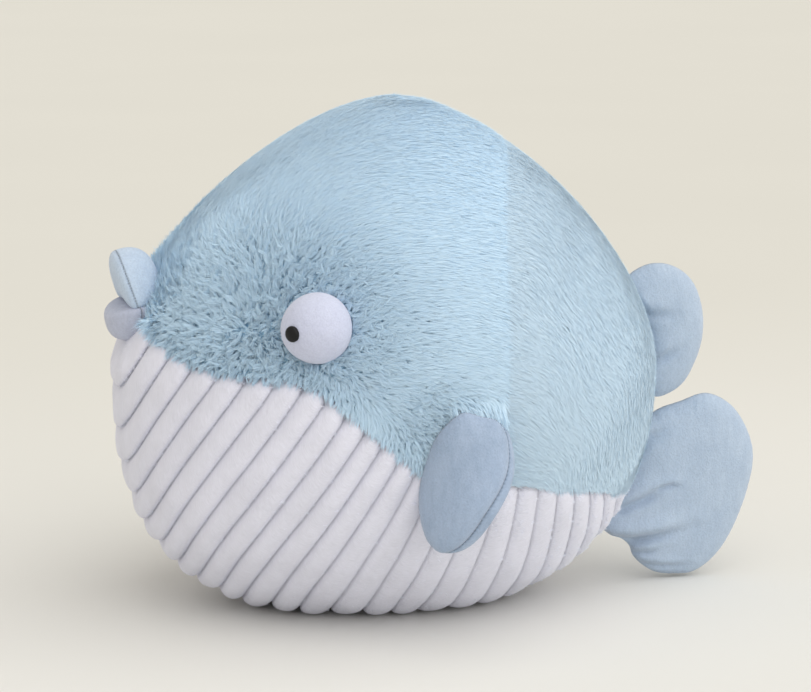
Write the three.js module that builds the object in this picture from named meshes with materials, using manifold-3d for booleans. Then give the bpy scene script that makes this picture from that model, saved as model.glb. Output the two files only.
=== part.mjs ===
// A stuffed puffer fish: a round body of fur panels over a ribbed belly, two
// stitched-on ball eyes, two padded lips, two padded side fins and a tail of two lobes.
// Millimetres, +Z up. The fish faces -Y and its left side is +X.
import * as THREE from 'three';
import { mergeVertices } from 'three/addons/utils/BufferGeometryUtils.js';
import Module from 'manifold-3d';

const wasm = await Module();
wasm.setup();

// Body, measured over the tips of its pile: half sizes at the widest level
const BODY_HEIGHT = 230;
const WIDEST_LEVEL = 110;
const HALF_WIDTH = 118;
const FRONT_REACH = 127;
const REAR_REACH = 121;
const SINK = 7; // how far the round underside would go below the floor if it weren't pressed flat
const FUR_THICKNESS = 8; // pile and backing cloth together
const SEAM_GAP = 0.3; // between pieces that are sewn together
const REST_CUT = 0.5; // depth of the flat that the belly ribs stand on

// How full each quarter of the body is: 2 is an ellipse, less is pointed, more is boxy
const ROUND_ABOVE = { side: 1.8, front: 1.5, rear: 1.6 };
const ROUND_BELOW = { side: 1.95, front: 2.8, rear: 2.4 };

// Ribbed belly cloth
const RIB_PITCH = 11.5;
const RIB_DEPTH = 3.5;
const FIRST_GROOVE = 4.5; // along the chin, from where the ribs begin
const CHIN_LEVEL = 119;
const RIB_LEVEL = 60; // level at which the ribs' places along the body are set out
const RIBS_END_LEVEL = 75; // up the rear, just above the belly seam
const STEEPEST_LEAN = 0.45;
const STEEPEST_AT = -95; // place along the body of the ribs that lean most
const LEAN_RISE = 0.0045; // change of lean for each millimetre, ahead of that place
const LEAN_FALL = 0.0041; // and behind it
const REAR_LEAN = -0.3;
const BELLY_CAP_LEVEL = 150; // blank of the belly cloth before it is cut at its seam

// Eyes
const EYE_RADIUS = 15.2;
const EYE_SKIN = 1.2;
const EYE_GAP = 0.5; // round the ball where it is sunk into the fur
const EYE_ALONG = -56.5;
const EYE_RISE = 32.5; // above the widest level
const EYE_STAND_OFF = 1.35; // the ball's centre, outside the tips of the fur
const EYE_GATHER_RADIUS = 4; // hole at the back, where the cloth is gathered
const PUPIL_RADIUS = 3.5;
const PUPIL_RISE = 2.2;
const PUPIL_DIRECTION = new THREE.Vector3(0.516, -0.856, -0.03).normalize();

// Padded pieces: lips, fins and tail lobes
const PANEL_SKIN = 1.5;
const STUFFING_GAP = 0.6; // between a pad's filling and its cloth
const RIM_SWELL = 0.55; // how sharply a pad rounds off to its rim seam
const MOUTH_RISE = 32; // above the widest level
// A lip's rim stands off the face, is raised from the mouth and leans forward by degrees
const UPPER_LIP = {
  standOff: 10.2, raised: 7, lean: 20, halfWidth: 19, above: 16.5, below: 8.5, front: 3.5, back: 15,
};
const LOWER_LIP = {
  standOff: 6.2, raised: -8, lean: 10, halfWidth: 17, above: 9, below: 10.5, front: 4.5, back: 4,
};
const LIP_CURL = 3; // how far back the corners of a lip lie
const FIN_LENGTH = 60;
const FIN_HALF_WIDTH = 18;
const FIN_FRONT_BULGE = 7;
const FIN_BACK_BULGE = 8;
const FIN_ROOT_AT = { along: 9, level: 106 };
const FIN_TWIST = 38; // degrees, the blade turns to face forward towards its tip
const FIN_SWEEP = 17.5; // degrees that the blade's tip leans towards the front
const FIN_STAND_OFF = 1.6;
const TAIL_BULGE = 6.5;
const TAIL_SEAM_GAP = 0.85; // wider than the others, because the lobes swing
const UPPER_LOBE = { reach: 28.5, low: 86.5, high: 149 }; // reach is beyond the body's rear
const LOWER_LOBE = { reach: 54.5, low: 1.4, high: 87 };

const AROUND_BODY = 28;
const BODY_STEPS = 7;
const AROUND_RIB = 12;
const AROUND_PAD = 20;
const PAD_RINGS = [0.36, 0.66, 0.87, 1];
const STUFFING_EDGE = 0.9;

function halfSize(reach, above, below, level, inset) {
  const isAbove = level > WIDEST_LEVEL;
  const span = isAbove ? BODY_HEIGHT - WIDEST_LEVEL - inset : WIDEST_LEVEL + SINK - inset;
  const share = Math.min(1, Math.abs(level - WIDEST_LEVEL) / span);
  const power = isAbove ? above : below;
  return (reach - inset) * (1 - share ** power) ** (1 / power);
}

function sideHalf(level, inset = 0) {
  return halfSize(HALF_WIDTH, ROUND_ABOVE.side, ROUND_BELOW.side, level, inset);
}

function frontHalf(level, inset = 0) {
  return halfSize(FRONT_REACH, ROUND_ABOVE.front, ROUND_BELOW.front, level, inset);
}

function rearHalf(level, inset = 0) {
  return halfSize(REAR_REACH, ROUND_ABOVE.rear, ROUND_BELOW.rear, level, inset);
}

function lengthHalf(y, level, inset = 0) {
  return y < 0 ? frontHalf(level, inset) : rearHalf(level, inset);
}

function signedVolume(points, index) {
  let sum = 0;
  const cross = new THREE.Vector3();
  for (let i = 0; i < index.length; i += 3) {
    cross.crossVectors(points[index[i + 1]], points[index[i + 2]]);
    sum += points[index[i]].dot(cross);
  }
  return sum;
}

// Closed surface through a point, rings of equal count and another point
function closedRings(first, rings, last) {
  const count = rings[0].length;
  const points = [first, ...rings.flat(), last];
  const index = [];
  const end = points.length - 1;
  for (let j = 0; j < count; j++) {
    const next = (j + 1) % count;
    index.push(0, 1 + next, 1 + j);
    for (let i = 0; i < rings.length - 1; i++) {
      const a = 1 + i * count + j;
      const b = 1 + i * count + next;
      index.push(a, b, a + count, b, b + count, a + count);
    }
    index.push(end, end - count + j, end - count + next);
  }
  if (signedVolume(points, index) < 0) index.reverse();
  const geometry = new THREE.BufferGeometry().setFromPoints(points);
  geometry.setIndex(index);
  return geometry;
}

function solidOf(geometry) {
  const bare = geometry.clone();
  bare.deleteAttribute('normal');
  bare.deleteAttribute('uv');
  const joined = mergeVertices(bare, 1e-4);
  return new wasm.Manifold(new wasm.Mesh({
    numProp: 3,
    vertProperties: Float32Array.from(joined.attributes.position.array),
    triVerts: Uint32Array.from(joined.index.array),
  }));
}

function geometryOf(solid) {
  const mesh = solid.getMesh();
  const geometry = new THREE.BufferGeometry();
  geometry.setAttribute('position', new THREE.BufferAttribute(mesh.vertProperties, 3));
  geometry.setIndex(new THREE.BufferAttribute(mesh.triVerts, 1));
  return geometry;
}

function mirrored(geometry) {
  const copy = geometry.clone().applyMatrix4(new THREE.Matrix4().makeScale(-1, 1, 1));
  copy.setIndex([...copy.index.array].reverse());
  return copy;
}

function boxSolid(low, high) {
  const size = high.clone().sub(low);
  const box = new THREE.BoxGeometry(size.x, size.y, size.z);
  const middle = low.clone().add(high).multiplyScalar(0.5);
  return solidOf(box.translate(middle.x, middle.y, middle.z));
}

// Whole body, drawn in by inset, as a solid
function bodySolid(inset) {
  const rings = [];
  const top = BODY_HEIGHT - inset;
  const bottom = inset - SINK;
  for (let i = 1 - BODY_STEPS; i < BODY_STEPS; i++) {
    const rise = Math.sin((i / BODY_STEPS) * Math.PI / 2);
    const level = WIDEST_LEVEL + rise * (i > 0 ? top - WIDEST_LEVEL : WIDEST_LEVEL - bottom);
    const ring = [];
    for (let j = 0; j < AROUND_BODY; j++) {
      const angle = (j / AROUND_BODY) * 2 * Math.PI;
      const y = Math.sin(angle);
      ring.push(new THREE.Vector3(
        Math.cos(angle) * sideHalf(level, inset),
        y * lengthHalf(y, level, inset),
        level,
      ));
    }
    rings.push(ring);
  }
  return solidOf(closedRings(
    new THREE.Vector3(0, 0, bottom), rings, new THREE.Vector3(0, 0, top),
  ));
}

// Seam as seen from the side, from shares of the body's reach and of its height
function seamCurve(shares) {
  return new THREE.SplineCurve(shares.map(([along, up]) => new THREE.Vector2(
    along * (along < 0 ? FRONT_REACH : REAR_REACH), up * BODY_HEIGHT,
  )));
}

const bellySeam = seamCurve([
  [-1.18, 0.622], [-0.985, 0.617], [-0.913, 0.565], [-0.803, 0.524], [-0.63, 0.513],
  [-0.488, 0.511], [-0.37, 0.47], [-0.236, 0.409], [-0.118, 0.35], [0, 0.324], [0.19, 0.313],
  [0.355, 0.298], [0.529, 0.278], [0.777, 0.239], [1.157, 0.187],
]);

const sideSeam = seamCurve([
  [0.124, 0], [0.14, 0.313], [0.157, 0.478], [0.182, 0.665], [0.215, 0.783],
  [0.273, 0.861], [0.355, 0.917], [0.62, 1.087],
]);

// Prism across the whole width, from an outline seen from the side
function sidePrism(outline) {
  const width = 4 * HALF_WIDTH;
  const prism = new THREE.ExtrudeGeometry(new THREE.Shape(outline), {
    depth: width, bevelEnabled: false,
  });
  prism.applyMatrix4(new THREE.Matrix4().makeBasis(
    new THREE.Vector3(0, 1, 0), new THREE.Vector3(0, 0, 1), new THREE.Vector3(1, 0, 0),
  ));
  return solidOf(prism.translate(-width / 2, 0, 0));
}

function shifted(points, y, z) {
  return points.map((p) => new THREE.Vector2(p.x + y, p.y + z));
}

const FAR = 2 * BODY_HEIGHT;
const bellySeamLine = bellySeam.getPoints(24);
const sideSeamLine = sideSeam.getPoints(16);

function aboveBellySeam() {
  return sidePrism([
    ...shifted(bellySeamLine, 0, SEAM_GAP / 2),
    new THREE.Vector2(FAR, bellySeamLine.at(-1).y), new THREE.Vector2(FAR, FAR),
    new THREE.Vector2(-FAR, FAR), new THREE.Vector2(-FAR, bellySeamLine[0].y),
  ]);
}

function belowBellySeam() {
  return sidePrism([
    ...shifted(bellySeamLine, 0, -SEAM_GAP / 2),
    new THREE.Vector2(FAR, bellySeamLine.at(-1).y), new THREE.Vector2(FAR, -FAR),
    new THREE.Vector2(-FAR, -FAR), new THREE.Vector2(-FAR, bellySeamLine[0].y),
  ]);
}

// All that lies before the side seam, or behind it
function besideSideSeam(direction) {
  const edge = direction * FAR;
  return sidePrism([
    ...shifted(sideSeamLine, direction * SEAM_GAP / 2, 0),
    new THREE.Vector2(edge, sideSeamLine.at(-1).y), new THREE.Vector2(edge, sideSeamLine[0].y),
  ]);
}

function leanOfRib(place) {
  const behind = place - STEEPEST_AT;
  if (behind < 0) return STEEPEST_LEAN + behind * LEAN_RISE;
  return Math.max(REAR_LEAN, STEEPEST_LEAN - behind * LEAN_FALL);
}

function ribY(place, level) {
  return place + leanOfRib(place) * (level - RIB_LEVEL);
}

// Place of the rib plane that passes through a point of the body's middle line
function placeThrough(y, level) {
  let low = -2 * FRONT_REACH;
  let high = 2 * REAR_REACH;
  for (let i = 0; i < 40; i++) {
    const middle = (low + high) / 2;
    if (ribY(middle, level) < y) low = middle;
    else high = middle;
  }
  return low;
}

// The belly's middle line from the chin, under the body and up the rear, in 1 mm steps
function middleLine() {
  const line = [];
  const front = frontHalf(0);
  const rear = rearHalf(0);
  for (let z = CHIN_LEVEL; z > 0; z--) line.push(new THREE.Vector2(-frontHalf(z), z));
  for (let y = -front; y < rear; y++) line.push(new THREE.Vector2(y, 0));
  for (let z = 0; z < RIBS_END_LEVEL; z++) line.push(new THREE.Vector2(rearHalf(z), z));
  return line;
}

function pointsAlong(line, step, start) {
  const found = [];
  let walked = 0;
  let wanted = start;
  for (let i = 1; i < line.length; i++) {
    const length = line[i].distanceTo(line[i - 1]);
    while (wanted <= walked + length) {
      found.push(line[i - 1].clone().lerp(line[i], (wanted - walked) / length));
      wanted += step;
    }
    walked += length;
  }
  return found;
}

function insideBelly(point, inset) {
  if (point.z < inset - REST_CUT || point.z > BELLY_CAP_LEVEL - inset) return false;
  const x = point.x / sideHalf(point.z, inset);
  const y = point.y / lengthHalf(point.y, point.z, inset);
  return x * x + y * y < 1;
}

// Middle of a rib's section, higher up towards the body's two ends
function ribCentre(place) {
  const share = Math.min(1, Math.abs(place) / FRONT_REACH);
  const level = RIB_LEVEL + (CHIN_LEVEL - RIB_LEVEL) * share ** 6;
  const y = ribY(place, level);
  const depth = lengthHalf(y, level, RIB_DEPTH) - Math.abs(y);
  return { depth, point: new THREE.Vector3(0, y, level) };
}

function ribRing(place, inset) {
  const centre = ribCentre(place).point;
  const up = new THREE.Vector3(0, leanOfRib(place), 1).normalize();
  const ring = [];
  for (let j = 0; j < AROUND_RIB; j++) {
    const turn = (2 * j + 1) / AROUND_RIB - 1; // closer together under the belly
    const angle = Math.PI * (0.72 * turn + 0.28 * turn ** 3);
    const way = up.clone().multiplyScalar(-Math.cos(angle));
    way.x = Math.sin(angle);
    let low = 0;
    let high = FAR;
    for (let i = 0; i < 30; i++) {
      const middle = (low + high) / 2;
      if (insideBelly(centre.clone().addScaledVector(way, middle), inset)) low = middle;
      else high = middle;
    }
    ring.push(centre.clone().addScaledVector(way, low));
  }
  return ring;
}

// Blank of the ribbed cloth: a loft of sections, one in each groove and two on each rib
function ribbedBlank() {
  const line = middleLine();
  const quarter = RIB_PITCH / 4;
  const grooves = pointsAlong(line, RIB_PITCH, FIRST_GROOVE);
  const beforeCrest = pointsAlong(line, RIB_PITCH, FIRST_GROOVE + quarter);
  const afterCrest = pointsAlong(line, RIB_PITCH, FIRST_GROOVE + 3 * quarter);
  const stations = [
    ...grooves.map((p) => ({ place: placeThrough(p.x, p.y), inset: RIB_DEPTH })),
    ...beforeCrest.map((p) => ({ place: placeThrough(p.x, p.y), inset: 0 })),
    ...afterCrest.map((p) => ({ place: placeThrough(p.x, p.y), inset: 0 })),
  ].filter((s) => ribCentre(s.place).depth > 1).sort((a, b) => a.place - b.place);
  const rings = stations.map((s) => ribRing(s.place, s.inset));
  const first = ribCentre(stations[0].place - 0.5).point; // just beyond the end sections
  const last = ribCentre(stations.at(-1).place + 2).point;
  return solidOf(closedRings(first, rings, last));
}

// How far out the body's side is at a place along it and a level
function sideAt(along, level) {
  return sideHalf(level) * Math.sqrt(1 - (along / lengthHalf(along, level)) ** 2);
}

const eyeLevel = WIDEST_LEVEL + EYE_RISE;
const EYE_CENTRE = new THREE.Vector3(
  sideAt(EYE_ALONG, eyeLevel) + EYE_STAND_OFF, EYE_ALONG, eyeLevel,
);

const eyeHollow = [1, -1].map((side) => {
  const ball = new THREE.SphereGeometry(EYE_RADIUS + EYE_GAP, 18, 12);
  return solidOf(ball.translate(side * EYE_CENTRE.x, EYE_CENTRE.y, EYE_CENTRE.z));
});

const bodyOutside = bodySolid(0);
const bodyInside = bodySolid(FUR_THICKNESS);
const bodyKeepOut = bodySolid(-SEAM_GAP);

function bellyPanel() {
  const floor = boxSolid(new THREE.Vector3(-FAR, -FAR, 0), new THREE.Vector3(FAR, FAR, FAR));
  const blank = ribbedBlank().intersect(belowBellySeam()).intersect(floor);
  return blank.subtract(bodyInside);
}

// One of the four fur panels: shared by the head or the rear, on one side of the body
function furPanel(side, direction) {
  const edge = side * SEAM_GAP / 2;
  const half = boxSolid(
    new THREE.Vector3(Math.min(edge, side * FAR), -FAR, -FAR),
    new THREE.Vector3(Math.max(edge, side * FAR), FAR, FAR),
  );
  return bodyOutside.subtract(bodyInside).intersect(aboveBellySeam())
    .intersect(besideSideSeam(direction)).intersect(half)
    .subtract(side > 0 ? eyeHollow[0] : eyeHollow[1]);
}

function bodyStuffing() {
  const rest = FUR_THICKNESS + SEAM_GAP;
  const floor = boxSolid(new THREE.Vector3(-FAR, -FAR, rest), new THREE.Vector3(FAR, FAR, FAR));
  return bodySolid(rest).intersect(floor).subtract(eyeHollow[0]).subtract(eyeHollow[1]);
}

// Cloth of an eye: a ball sewn up from the back, turned so that its gather faces the body
function eyeBallGeometry() {
  const inner = EYE_RADIUS - EYE_SKIN;
  const profile = [];
  const start = Math.asin(EYE_GATHER_RADIUS / EYE_RADIUS);
  const steps = 9;
  for (let i = 0; i <= steps; i++) {
    const angle = start + (Math.PI - start) * (i / steps);
    const radius = i === steps ? 0 : EYE_RADIUS * Math.sin(angle);
    profile.push(new THREE.Vector2(radius, -EYE_RADIUS * Math.cos(angle)));
  }
  for (let i = steps; i >= 0; i--) {
    const angle = start + (Math.PI - start) * (i / steps);
    const radius = i === steps ? 0 : inner * Math.sin(angle);
    profile.push(new THREE.Vector2(radius, -inner * Math.cos(angle)));
  }
  profile.push(profile[0].clone());
  const ball = new THREE.LatheGeometry(profile, 16);
  const outward = new THREE.Vector3(1, -0.4, 0.15).normalize();
  ball.applyQuaternion(new THREE.Quaternion().setFromUnitVectors(
    new THREE.Vector3(0, 1, 0), outward,
  ));
  return geometryOf(solidOf(ball.translate(EYE_CENTRE.x, EYE_CENTRE.y, EYE_CENTRE.z)));
}

function eyeStuffingGeometry() {
  const ball = new THREE.SphereGeometry(EYE_RADIUS - EYE_SKIN - STUFFING_GAP, 14, 9);
  return ball.translate(EYE_CENTRE.x, EYE_CENTRE.y, EYE_CENTRE.z);
}

// Domed disc on the ball's surface, hollowed behind to sit on it
function pupilGeometry() {
  const dome = new THREE.SphereGeometry(1, 20, 12);
  dome.scale(PUPIL_RADIUS, PUPIL_RISE, PUPIL_RADIUS);
  dome.applyQuaternion(new THREE.Quaternion().setFromUnitVectors(
    new THREE.Vector3(0, 1, 0), PUPIL_DIRECTION,
  ));
  const seat = EYE_CENTRE.clone().addScaledVector(PUPIL_DIRECTION, EYE_RADIUS);
  return geometryOf(solidOf(dome.translate(seat.x, seat.y, seat.z)).subtract(eyeHollow[0]));
}

// A pad has an outline, a middle and a rule that places its points in space
function makePad(points, middle, place) {
  const curve = new THREE.CatmullRomCurve3(
    points.map(([u, v]) => new THREE.Vector3(u, v, 0)), true, 'centripetal',
  );
  const outline = curve.getSpacedPoints(AROUND_PAD).slice(0, AROUND_PAD);
  return { outline, middle: new THREE.Vector3(middle[0], middle[1], 0), place };
}

function padRing(pad, share, height) {
  return pad.outline.map((point) => {
    const spot = pad.middle.clone().lerp(point, share);
    return pad.place(spot.x, spot.y, height);
  });
}

function padMiddle(pad, height) {
  return pad.place(pad.middle.x, pad.middle.y, height);
}

function swell(bulge, share) {
  return bulge * (1 - share * share) ** RIM_SWELL;
}

// Cloth panel on one face of a pad
function padPanel(pad, bulge, direction) {
  const base = SEAM_GAP / 2;
  const outer = PAD_RINGS.map((share) => (
    padRing(pad, share, direction * (base + PANEL_SKIN + swell(bulge, share)))));
  const inner = [...PAD_RINGS].reverse().map((share) => (
    padRing(pad, share, direction * (base + swell(bulge, share)))));
  return solidOf(closedRings(
    padMiddle(pad, direction * (base + PANEL_SKIN + bulge)), [...outer, ...inner],
    padMiddle(pad, direction * (base + bulge)),
  ));
}

function padStuffing(pad, frontBulge, backBulge) {
  const shares = PAD_RINGS.slice(0, -1);
  const clear = STUFFING_GAP - SEAM_GAP / 2;
  const front = shares.map((share) => padRing(pad, share, swell(frontBulge, share) - clear));
  const back = shares.map((share) => padRing(pad, share, clear - swell(backBulge, share)));
  return solidOf(closedRings(
    padMiddle(pad, frontBulge - clear), [...front, padRing(pad, STUFFING_EDGE, 0), ...back.reverse()],
    padMiddle(pad, clear - backBulge),
  ));
}

// Lip: a half-round pad that stands before the face, its front turned to the mouth
function lipPad(lip, outline, middle) {
  const lean = THREE.MathUtils.degToRad(lip.lean);
  const up = new THREE.Vector3(0, -Math.sin(lean), Math.cos(lean));
  const front = new THREE.Vector3(0, -Math.cos(lean), -Math.sin(lean));
  const level = WIDEST_LEVEL + MOUTH_RISE + lip.raised;
  const centre = new THREE.Vector3(0, -frontHalf(level) - lip.standOff, level);
  const points = outline.map(([v, u]) => [
    v * lip.halfWidth, u * (u > 0 ? lip.above : lip.below),
  ]);
  return makePad(points, [0, middle * lip.above], (v, u, h) => {
    const curl = (v / lip.halfWidth) ** 2 * LIP_CURL;
    return centre.clone().addScaledVector(up, u).addScaledVector(front, h - curl)
      .add(new THREE.Vector3(v, 0, 0));
  });
}

function upperLipPad() {
  return lipPad(UPPER_LIP, [
    [-1, -0.94], [-0.95, 0.12], [-0.66, 0.67], [0, 1], [0.66, 0.67], [0.95, 0.12],
    [1, -0.94], [0.55, -1], [0, -1], [-0.55, -1],
  ], 0.06);
}

function lowerLipPad() {
  return lipPad(LOWER_LIP, [
    [-1, 0.89], [-0.9, 0], [-0.6, -0.67], [0, -1], [0.6, -0.67], [0.9, 0],
    [1, 0.89], [0.5, 1], [0, 1], [-0.5, 1],
  ], 0.11);
}

// Left fin: hangs from its sewn root edge and turns to face forward towards its tip
function finPad() {
  const sweep = THREE.MathUtils.degToRad(FIN_SWEEP);
  const side = sideAt(FIN_ROOT_AT.along, FIN_ROOT_AT.level);
  const rootX = side + SEAM_GAP + PANEL_SKIN + FIN_STAND_OFF;
  const root = new THREE.Vector3(rootX, FIN_ROOT_AT.along, FIN_ROOT_AT.level);
  const down = new THREE.Vector3(0, -Math.sin(sweep), -Math.cos(sweep));
  const width = FIN_HALF_WIDTH;
  const length = FIN_LENGTH;
  const outline = [[0.01, -0.45], [0.15, -0.78], [0.4, -0.96], [0.63, -1], [0.84, -0.7],
    [0.97, -0.28], [1, 0.12], [0.92, 0.5], [0.73, 0.84], [0.5, 1], [0.25, 0.96],
    [0.07, 0.72], [0, 0.4], [0, 0]].map(([u, v]) => [u * length, v * width]);
  return makePad(outline, [0.52 * length, 0], (u, v, h) => {
    const share = Math.min(1, Math.max(0, u / (0.7 * length)));
    const turn = THREE.MathUtils.degToRad(FIN_TWIST) * share * share * (3 - 2 * share);
    const across = new THREE.Vector3(
      Math.sin(turn), Math.cos(turn) * Math.cos(sweep), -Math.cos(turn) * Math.sin(sweep),
    );
    const face = new THREE.Vector3(Math.cos(turn), -Math.sin(turn), 0);
    return root.clone().addScaledVector(down, u).addScaledVector(across, v)
      .addScaledVector(face, h);
  });
}

// Tail lobe: an upright pad behind the body, its root edge following the body's rear
function tailPad(lobe, rootShares, outline, middle) {
  const levelAt = (share) => THREE.MathUtils.lerp(lobe.low, lobe.high, share);
  const spot = ([across, up]) => [REAR_REACH + across * lobe.reach, levelAt(up)];
  const root = rootShares.map((up) => [rearHalf(levelAt(up)) + TAIL_SEAM_GAP, levelAt(up)]);
  const points = [...root, ...outline.map(spot)];
  return makePad(points, spot(middle), (y, z, h) => new THREE.Vector3(h, y, z));
}

function upperTailPad() {
  return tailPad(UPPER_LOBE, [0.89, 0.66, 0.44, 0.23, 0.07], [
    [0.21, 0], [0.46, 0.03], [0.67, 0.1], [0.84, 0.23], [0.96, 0.38], [1, 0.54],
    [0.95, 0.71], [0.81, 0.86], [0.6, 0.95], [0.32, 1], [0, 0.99],
  ], [0.39, 0.5]);
}

function lowerTailPad() {
  return tailPad(LOWER_LOBE, [0.825, 0.685, 0.53, 0.4, 0.3], [
    [-0.37, 0.21], [-0.13, 0.12], [0.13, 0.03], [0.37, 0], [0.57, 0.04], [0.74, 0.15],
    [0.92, 0.39], [1, 0.64], [0.94, 0.79], [0.79, 0.93], [0.57, 1], [0.33, 0.96], [0.13, 0.92],
  ], [0.35, 0.52]);
}

const cloth = {
  headFur: { color: 0xbad0e2, roughness: 0.95 },
  rearFur: { color: 0xbed3e0, roughness: 0.95 },
  ribbed: { color: 0xc9cad8, roughness: 0.9 },
  smooth: { color: 0xadc0d6, roughness: 0.85 },
  eye: { color: 0xd0d4e5, roughness: 0.85 },
  bead: { color: 0x141416, roughness: 0.25 },
  fill: { color: 0xf1f1ec, roughness: 1 },
};

const fish = new THREE.Group();

function add(name, geometry, finish) {
  geometry.computeVertexNormals();
  const material = new THREE.MeshStandardMaterial({ ...finish, metalness: 0 });
  const mesh = new THREE.Mesh(geometry, material);
  mesh.name = name;
  fish.add(mesh);
}

function addBody() {
  add('belly_panel', geometryOf(bellyPanel()), cloth.ribbed);
  add('body_stuffing', geometryOf(bodyStuffing()), cloth.fill);
  for (const [hand, side] of [['left', 1], ['right', -1]]) {
    add(`front_fur_${hand}`, geometryOf(furPanel(side, -1)), cloth.headFur);
    add(`rear_fur_${hand}`, geometryOf(furPanel(side, 1)), cloth.rearFur);
  }
}

function addPair(name, geometry, finish) {
  add(`left_${name}`, geometry, finish);
  add(`right_${name}`, mirrored(geometry), finish);
}

function addEyes() {
  addPair('eye_ball', eyeBallGeometry(), cloth.eye);
  addPair('eye_stuffing', geometryOf(solidOf(eyeStuffingGeometry())), cloth.fill);
  addPair('pupil', pupilGeometry(), cloth.bead);
}

function addLip(name, pad, lip) {
  const trim = (solid) => geometryOf(solid.subtract(bodyKeepOut));
  add(`${name}_inner`, trim(padPanel(pad, lip.front, 1)), cloth.smooth);
  add(`${name}_outer`, trim(padPanel(pad, lip.back, -1)), cloth.smooth);
  add(`${name}_stuffing`, trim(padStuffing(pad, lip.front, lip.back)), cloth.fill);
}

function addFins() {
  const pad = finPad();
  const trim = (solid) => geometryOf(solid.subtract(bodyKeepOut));
  addPair('fin_front', trim(padPanel(pad, FIN_FRONT_BULGE, 1)), cloth.smooth);
  addPair('fin_back', trim(padPanel(pad, FIN_BACK_BULGE, -1)), cloth.smooth);
  addPair('fin_stuffing', trim(padStuffing(pad, FIN_FRONT_BULGE, FIN_BACK_BULGE)), cloth.fill);
}

function addTailLobe(name, pad) {
  const keepOut = bodySolid(-TAIL_SEAM_GAP);
  const trim = (solid) => geometryOf(solid.subtract(keepOut));
  add(`${name}_left`, trim(padPanel(pad, TAIL_BULGE, 1)), cloth.smooth);
  add(`${name}_right`, trim(padPanel(pad, TAIL_BULGE, -1)), cloth.smooth);
  add(`${name}_stuffing`, trim(padStuffing(pad, TAIL_BULGE, TAIL_BULGE)), cloth.fill);
}

addBody();
addEyes();
addLip('upper_lip', upperLipPad(), UPPER_LIP);
addLip('lower_lip', lowerLipPad(), LOWER_LIP);
addFins();
addTailLobe('upper_tail', upperTailPad());
addTailLobe('lower_tail', lowerTailPad());

// The origin lies on the floor, under the middle of the whole toy
const extent = new THREE.Box3().setFromObject(fish);
fish.position.y = -(extent.min.y + extent.max.y) / 2;

export default fish;
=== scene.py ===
# A stuffed puffer fish: a ribbed belly, shaggy head fur and paler rear fur round a tight
# filling, with two ball eyes, two lips, two side fins and a tail of two lobes sewn on.
# Metres, +Z up. The fish faces -Y and its left side is +X.
import math

import bpy
import numpy as np
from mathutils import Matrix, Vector
from mathutils.kdtree import KDTree


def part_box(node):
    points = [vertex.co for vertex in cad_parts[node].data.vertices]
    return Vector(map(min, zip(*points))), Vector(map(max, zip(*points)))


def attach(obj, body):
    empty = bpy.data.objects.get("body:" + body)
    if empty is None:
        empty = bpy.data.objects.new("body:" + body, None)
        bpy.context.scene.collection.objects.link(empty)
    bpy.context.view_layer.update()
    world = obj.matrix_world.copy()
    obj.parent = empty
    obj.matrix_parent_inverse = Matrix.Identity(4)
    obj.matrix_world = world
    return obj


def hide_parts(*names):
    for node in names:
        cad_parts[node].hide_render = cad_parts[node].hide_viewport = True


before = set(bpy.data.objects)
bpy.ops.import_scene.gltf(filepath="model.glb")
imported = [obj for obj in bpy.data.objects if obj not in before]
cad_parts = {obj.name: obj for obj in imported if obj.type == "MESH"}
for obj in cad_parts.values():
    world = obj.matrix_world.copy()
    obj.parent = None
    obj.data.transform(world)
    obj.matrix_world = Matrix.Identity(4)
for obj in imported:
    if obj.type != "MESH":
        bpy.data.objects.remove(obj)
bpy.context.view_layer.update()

# Filling: polyester fibre packed tight, which gives the body its round shape.
# The body is measured over the tips of its pile, so the cloth and its pile lie outside this.
CLOTH_AND_PILE = 0.0083
FRONT_REACH = 0.127
WIDEST_LEVEL = 0.110
SINK = 0.007  # how far the round underside would go below the floor if it weren't pressed flat
ROUND_ABOVE = {"side": 1.8, "front": 1.5, "rear": 1.6}  # 2 is an ellipse, less is pointed
ROUND_BELOW = {"side": 1.95, "front": 2.8, "rear": 2.4}

filling_low, filling_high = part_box("body_stuffing")
HALF_WIDTH = filling_high.x + CLOTH_AND_PILE
BODY_HEIGHT = filling_high.z + CLOTH_AND_PILE
REAR_REACH = filling_high.y - filling_low.y + 2 * CLOTH_AND_PILE - FRONT_REACH
MIDDLE_Y = filling_low.y - CLOTH_AND_PILE + FRONT_REACH  # all shapes are drawn round this


def half_size(reach, above, below, level, inset):
    """Half the body's size along one way at a level, drawn in all round by inset."""
    is_above = level > WIDEST_LEVEL
    span = np.where(is_above, BODY_HEIGHT - WIDEST_LEVEL - inset, WIDEST_LEVEL + SINK - inset)
    share = np.clip(np.abs(level - WIDEST_LEVEL) / span, 0, 1)
    power = np.where(is_above, above, below)
    return np.maximum((reach - inset) * (1 - share ** power) ** (1 / power), 1e-6)


def side_half(level, inset=0.0):
    return half_size(HALF_WIDTH, ROUND_ABOVE["side"], ROUND_BELOW["side"], level, inset)


def length_half(y, level, inset=0.0):
    front = half_size(FRONT_REACH, ROUND_ABOVE["front"], ROUND_BELOW["front"], level, inset)
    rear = half_size(REAR_REACH, ROUND_ABOVE["rear"], ROUND_BELOW["rear"], level, inset)
    return np.where(np.asarray(y) < 0, front, rear)


def outline_share(x, y, level, inset=0.0):
    """Below 1 inside the body's outline at a level, 1 on it, and more outside."""
    return (x / side_half(level, inset)) ** 2 + (y / length_half(y, level, inset)) ** 2


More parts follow.
